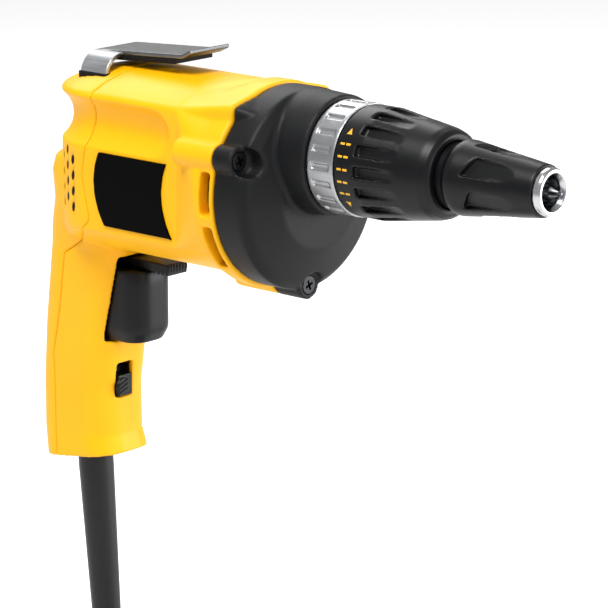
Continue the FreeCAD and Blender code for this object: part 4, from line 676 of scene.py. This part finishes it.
class SCREWDRIVER_OT_controls(bpy.types.Operator):
    """Make the trigger, reverse lever and lock slider"""

    bl_idname = "screwdriver.controls"
    bl_label = "Controls"

    def execute(self, context):
        trigger = softened("trigger_grip", "trigger", sizes().trim_grid, rounds=45)
        finished(trigger, finish("black_trim"), "trigger_piece", "black_moulding", "trigger")
        lever = softened("direction_lever", "reverse_lever", grid=0.3 * MM, rounds=2, added=self.teeth)
        finished(lever, finish("black_trim"), "lever", "black_moulding", "reverse_lever")
        lock = softened("lock_button", "lock_slider", grid=0.3 * MM, rounds=3, added=self.pad)
        finished(lock, finish("black_trim"), "lock", "black_moulding", "lock_slider")
        return {"FINISHED"}

    def teeth(self, shape):
        """Thumb teeth across the lever's tip."""
        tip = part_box("reverse_lever")[1][0] / MM
        points = [v.co / MM for v in NODES["reverse_lever"].data.vertices]
        ends = [p.y for p in points if p.x > tip - TIP_LENGTH]
        pitch = (max(ends) - min(ends)) / TEETH
        deep, wide, tall = TOOTH_HALF
        for tooth in range(TEETH):
            middle = (tip - TEETH_SET_BACK, min(ends) + pitch * (tooth + 0.5), TEETH_Z)
            pip(shape, middle, (deep, wide * pitch, tall))

    def pad(self, shape):
        """Round thumb pad on the lock slider, with slanted ribs."""
        front = FORWARD * (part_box("lock_slider")[1][0] / MM)
        behind, ahead = PAD_RADII
        place = Matrix.Translation((front + Vector(PAD_MIDDLE)) * MM) @ rotation(90, "Y")
        bmesh.ops.create_cone(shape, cap_ends=True, segments=32, radius1=behind * MM, radius2=ahead * MM,
                              depth=PAD_THICKNESS * MM, matrix=place)
        for step in RIB_STEPS:
            block(shape, front + RIB_LOW + UP * step, front + RIB_HIGH + UP * step, rotation(RIB_TURN, "X"))


# Corners of the dark block at the foot of the hook, painted shade where it meets the roof
HOOK_FOOT_SHADE = (15.9, -20.6, 114.5), (32.3, -17.0, 118.8)


class SCREWDRIVER_OT_hook(bpy.types.Operator):
    """Ease the steel belt hook and fit its liner"""

    bl_idname = "screwdriver.hook"
    bl_label = "Belt hook"

    def execute(self, context):
        hook = softened("hook_strip", "belt_hook", grid=0.3 * MM, rounds=4, thin=0.5)
        finished(hook, finish("hook_steel"), "tool", "hook_steel", "belt_hook")
        # The dark block added at the hook's foot is painted shade
        liner = softened("hook_pad", "hook_liner", grid=0.35 * MM, rounds=3, thin=0.6, added=self.foot_shade)
        finished(liner, finish("black_liner"), "tool", "black_liner", "hook_liner")
        return {"FINISHED"}

    def foot_shade(self, shape):
        """Dark block round the foot of the hook, where it enters the roof, as painted shade."""
        block(shape, *HOOK_FOOT_SHADE)


class SCREWDRIVER_OT_inside(bpy.types.Operator):
    """Finish the motor, gears and switch inside the housing"""

    bl_idname = "screwdriver.inside"
    bl_label = "Inside"

    def execute(self, context):
        dress("core_steel", "armature_core", "stator_core")
        dress("copper", "armature_windings", "field_coils", "commutator")
        dress("bronze", "gear_bush", "spindle_bush", "brush_holders")
        dress("bearing_steel", "front_bearing", "rear_bearing")
        dress("spring_steel", "clutch_spring", "trigger_spring")
        dress("carbon", "carbon_brushes")
        dress("grey_moulding", "bearing_plate", "fan", "switch_body", "cord_clamp")
        dress("cord_sheath", "inner_lead")
        return {"FINISHED"}


# Route of the cord from the tip of its boot: down, along the floor to its coil, and on to the plug by
# steps along and aside
BOOT_TIP = Vector((8.044, 0, -138.119))
CORD_STEPS = [(0, 0, 0), (1.9, 0, -25.9), (14.2, 8.6, -51.9), (35.5, 23.4, -66.9), (58.5, 39.4, -66.9)]
TAIL_STEPS = [(36, 0), (53.3, -10)]
COIL_RADIUS = 62.0
COIL_PITCH = 8.8
COIL_LAYER = 8.6
COIL_TURNS = 3.5
POINTS_A_TURN = 24
COIL_LEAD = 8.0


def coil_points(start, heading):
    """Points of the flat coil, and its way at the end.

    It spirals in, climbs a layer while it reverses, and spirals out.
    """
    slope = COIL_PITCH / math.tau
    inward = math.tau * COIL_TURNS
    inner = COIL_RADIUS - slope * inward
    first = math.atan2(heading.y, heading.x) + math.pi / 2 + math.atan2(slope, COIL_RADIUS)
    centre = start - Vector((math.cos(first), math.sin(first), 0)) * COIL_RADIUS
    points = []
    for step in range(round((2 * COIL_TURNS + 0.5) * POINTS_A_TURN) + 1):
        travel = step * math.tau / POINTS_A_TURN
        past = travel - inward
        if past <= 0:
            radius, rise = COIL_RADIUS - slope * travel, 0
        elif past < math.pi:
            share = past / math.pi
            radius = inner - slope * past * (1 - share)
            rise = COIL_LAYER * share * share * (3 - 2 * share)
        else:
            radius, rise = inner + slope * (past - math.pi), COIL_LAYER
        angle = first - travel
        points.append(centre + Vector((math.cos(angle) * radius, math.sin(angle) * radius, rise)))
    outward = Vector((math.cos(angle), math.sin(angle), 0))
    onward = Vector((math.sin(angle), -math.cos(angle), 0))
    return points, (onward * radius + outward * slope).normalized()


def cord_points():
    """Points of the whole cord, from its boot to the plug."""
    points = [BOOT_TIP + Vector(step) for step in CORD_STEPS]
    heading = (points[-1] - points[-2]).normalized()
    coil, way = coil_points(points[-1] + heading * COIL_LEAD, heading)
    end = coil[-1] + way * COIL_LEAD
    aside = Vector((-way.y, way.x, 0))
    return points + coil + [end] + [end + way * along + aside * off for along, off in TAIL_STEPS]


class SCREWDRIVER_OT_cord(bpy.types.Operator):
    """Lay the cord from its boot to the coil, and finish its boot, tie and plug"""

    bl_idname = "screwdriver.cord"
    bl_label = "Cord"

    def execute(self, context):
        line = bpy.data.curves.new("cord", "CURVE")
        line.dimensions = "3D"
        points = [p * MM for p in cord_points()]
        spline = line.splines.new("NURBS")
        spline.points.add(len(points) - 1)
        for knot, point in zip(spline.points, points):
            knot.co = (*point, 1)
        spline.order_u = 3
        spline.use_endpoint_u = True
        spline.resolution_u = 4
        line.bevel_depth = sizes().cord_width / 2
        line.bevel_resolution = 4
        line.use_fill_caps = True
        line.materials.append(finish("cord_sheath"))
        cord = linked("cord", line)
        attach(cord, "tool")
        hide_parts("cord_drop", "cord_coil", "cord_tail")
        plug = softened("plug", "plug_body", grid=0.6 * MM, rounds=8)
        finished(plug, finish("cord_sheath"), "tool", "cord_rubber", "plug_body")
        boot = softened("cord_guard", "cord_boot", grid=0.7 * MM, rounds=4)
        finished(boot, finish("cord_sheath"), "tool", "cord_rubber", "cord_boot")
        dress("tie_strap", "coil_tie")
        dress("pin_brass", "plug_pins")
        return {"FINISHED"}


# The stage is in metres. The floor and the surroundings are whiter to the camera than as a light.
FLOOR_Z = -211.0 * MM
FLOOR_HALF = 6.0
FLOOR_LIFT = 0.45
SKY_LIGHT, SKY_SEEN = 0.42, 0.95
CAMERA_PLACE = (1.0273, -1.0204, 0.3724)
CAMERA_TURN = (75.93, 0.0, 41.48)
CAMERA_LENS = 201.3
CAMERA_SENSOR = 36.0
CAMERA_NEAR, CAMERA_FAR = 0.05, 40
# Lamps: name, place, what they point at, width and height in metres, strength in watts
LAMPS = [
    ("key", (0.15, -0.8, 1.55), (0.1, 0, 0.05), 0.9, 0.7, 29),
    ("fill", (1.7, -0.2, 0.6), (0.1, 0, 0.05), 0.9, 1.0, 7),
    ("rim", (-0.9, 0.7, 1.1), (0.1, 0, 0.08), 1.0, 0.8, 10),
    ("edge", (1.05, 0.95, 0.2), (0.05, 0, 0.02), 0.7, 0.9, 12),
]


class SCREWDRIVER_OT_stage(bpy.types.Operator):
    """Set the floor, soft lamps, pale surroundings and camera"""

    bl_idname = "screwdriver.stage"
    bl_label = "Stage"

    def execute(self, context):
        scene = context.scene
        scene.view_settings.view_transform = "Standard"
        shape = bmesh.new()
        bmesh.ops.create_grid(shape, x_segments=1, y_segments=1, size=FLOOR_HALF,
                              matrix=Matrix.Translation((0, 0, FLOOR_Z)))
        floor = from_bmesh("floor", shape)
        floor.data.materials.append(self.floor_paint())
        for name, place, aim, wide, high, watts in LAMPS:
            lamp = bpy.data.lights.new(name, "AREA")
            lamp.shape = "RECTANGLE"
            lamp.size, lamp.size_y, lamp.energy = wide, high, watts
            holder = linked(name + "_lamp", lamp)
            holder.location = place
            holder.rotation_euler = (Vector(aim) - Vector(place)).to_track_quat("-Z", "Y").to_euler()
        self.surroundings(scene)
        lens = bpy.data.cameras.new("camera")
        lens.lens, lens.sensor_width = CAMERA_LENS, CAMERA_SENSOR
        lens.clip_start, lens.clip_end = CAMERA_NEAR, CAMERA_FAR
        camera = linked("camera", lens)
        camera.location = CAMERA_PLACE
        camera.rotation_euler = [math.radians(a) for a in CAMERA_TURN]
        scene.camera = camera
        return {"FINISHED"}

    def floor_paint(self):
        """Matt white paint; straight to the camera it is lifted to the white of the surroundings."""
        paint = bpy.data.materials.new("matt_white_paint")
        paint.use_nodes = True
        tree = paint.node_tree
        tree.nodes.clear()
        matt = add(tree, "BsdfDiffuse", {"Color": opaque(colours().floor)})
        path = add(tree, "LightPath")
        lift = add(tree, "Math", {1: FLOOR_LIFT}, {0: path.outputs["Is Camera Ray"]}, operation="MULTIPLY")
        glow = add(tree, "Emission", {"Color": (1, 1, 1, 1)}, {"Strength": lift.outputs["Value"]})
        both = add(tree, "AddShader", links={0: matt.outputs["BSDF"], 1: glow.outputs["Emission"]})
        add(tree, "OutputMaterial", links={"Surface": both.outputs["Shader"]})
        return paint

    def surroundings(self, scene):
        """White to the camera, dimmer as a light and in reflections."""
        world = bpy.data.worlds.new("surroundings")
        world.use_nodes = True
        tree = world.node_tree
        tree.nodes.clear()
        path = add(tree, "LightPath")
        bright = add(tree, "MapRange", {"To Min": SKY_LIGHT, "To Max": SKY_SEEN},
                     {"Value": path.outputs["Is Camera Ray"]})
        sky = add(tree, "Background", {"Color": (1, 1, 1, 1)}, {"Strength": bright.outputs["Result"]})
        add(tree, "OutputWorld", links={"Surface": sky.outputs["Background"]})
        scene.world = world


class SCREWDRIVER_PT_panel(bpy.types.Panel):
    """Lists the pieces, sizes and colours in the sidebar"""

    bl_label = "Drywall screwdriver"
    bl_idname = "SCREWDRIVER_PT_panel"
    bl_space_type = "VIEW_3D"
    bl_region_type = "UI"
    bl_category = "Screwdriver"

    def draw(self, context):
        for step in STEPS:
            self.layout.operator(step.bl_idname)
        for group in (sizes(), colours()):
            for key in group.__annotations__:
                self.layout.prop(group, key)


STEPS = [SCREWDRIVER_OT_finishes, SCREWDRIVER_OT_stage, SCREWDRIVER_OT_cord, SCREWDRIVER_OT_housing,
         SCREWDRIVER_OT_case, SCREWDRIVER_OT_nose, SCREWDRIVER_OT_controls, SCREWDRIVER_OT_hook,
         SCREWDRIVER_OT_inside]
CLASSES = [ScrewdriverColours, ScrewdriverSizes, *STEPS, SCREWDRIVER_PT_panel]


def register():
    """Make the classes and the user's settings known."""
    for part in CLASSES:
        bpy.utils.register_class(part)
    bpy.types.Scene.screwdriver_colours = bpy.props.PointerProperty(type=ScrewdriverColours)
    bpy.types.Scene.screwdriver_sizes = bpy.props.PointerProperty(type=ScrewdriverSizes)


def unregister():
    """Take the user's settings and the classes away again."""
    del bpy.types.Scene.screwdriver_sizes
    del bpy.types.Scene.screwdriver_colours
    for part in reversed(CLASSES):
        bpy.utils.unregister_class(part)


def main():
    """Build the tool and its stage."""
    register()
    bpy.ops.screwdriver.finishes()
    bpy.ops.screwdriver.stage()
    bpy.ops.screwdriver.cord()
    bpy.ops.screwdriver.housing()
    bpy.ops.screwdriver.case()
    bpy.ops.screwdriver.nose()
    bpy.ops.screwdriver.controls()
    bpy.ops.screwdriver.hook()
    bpy.ops.screwdriver.inside()


if __name__ == "__main__":
    main()
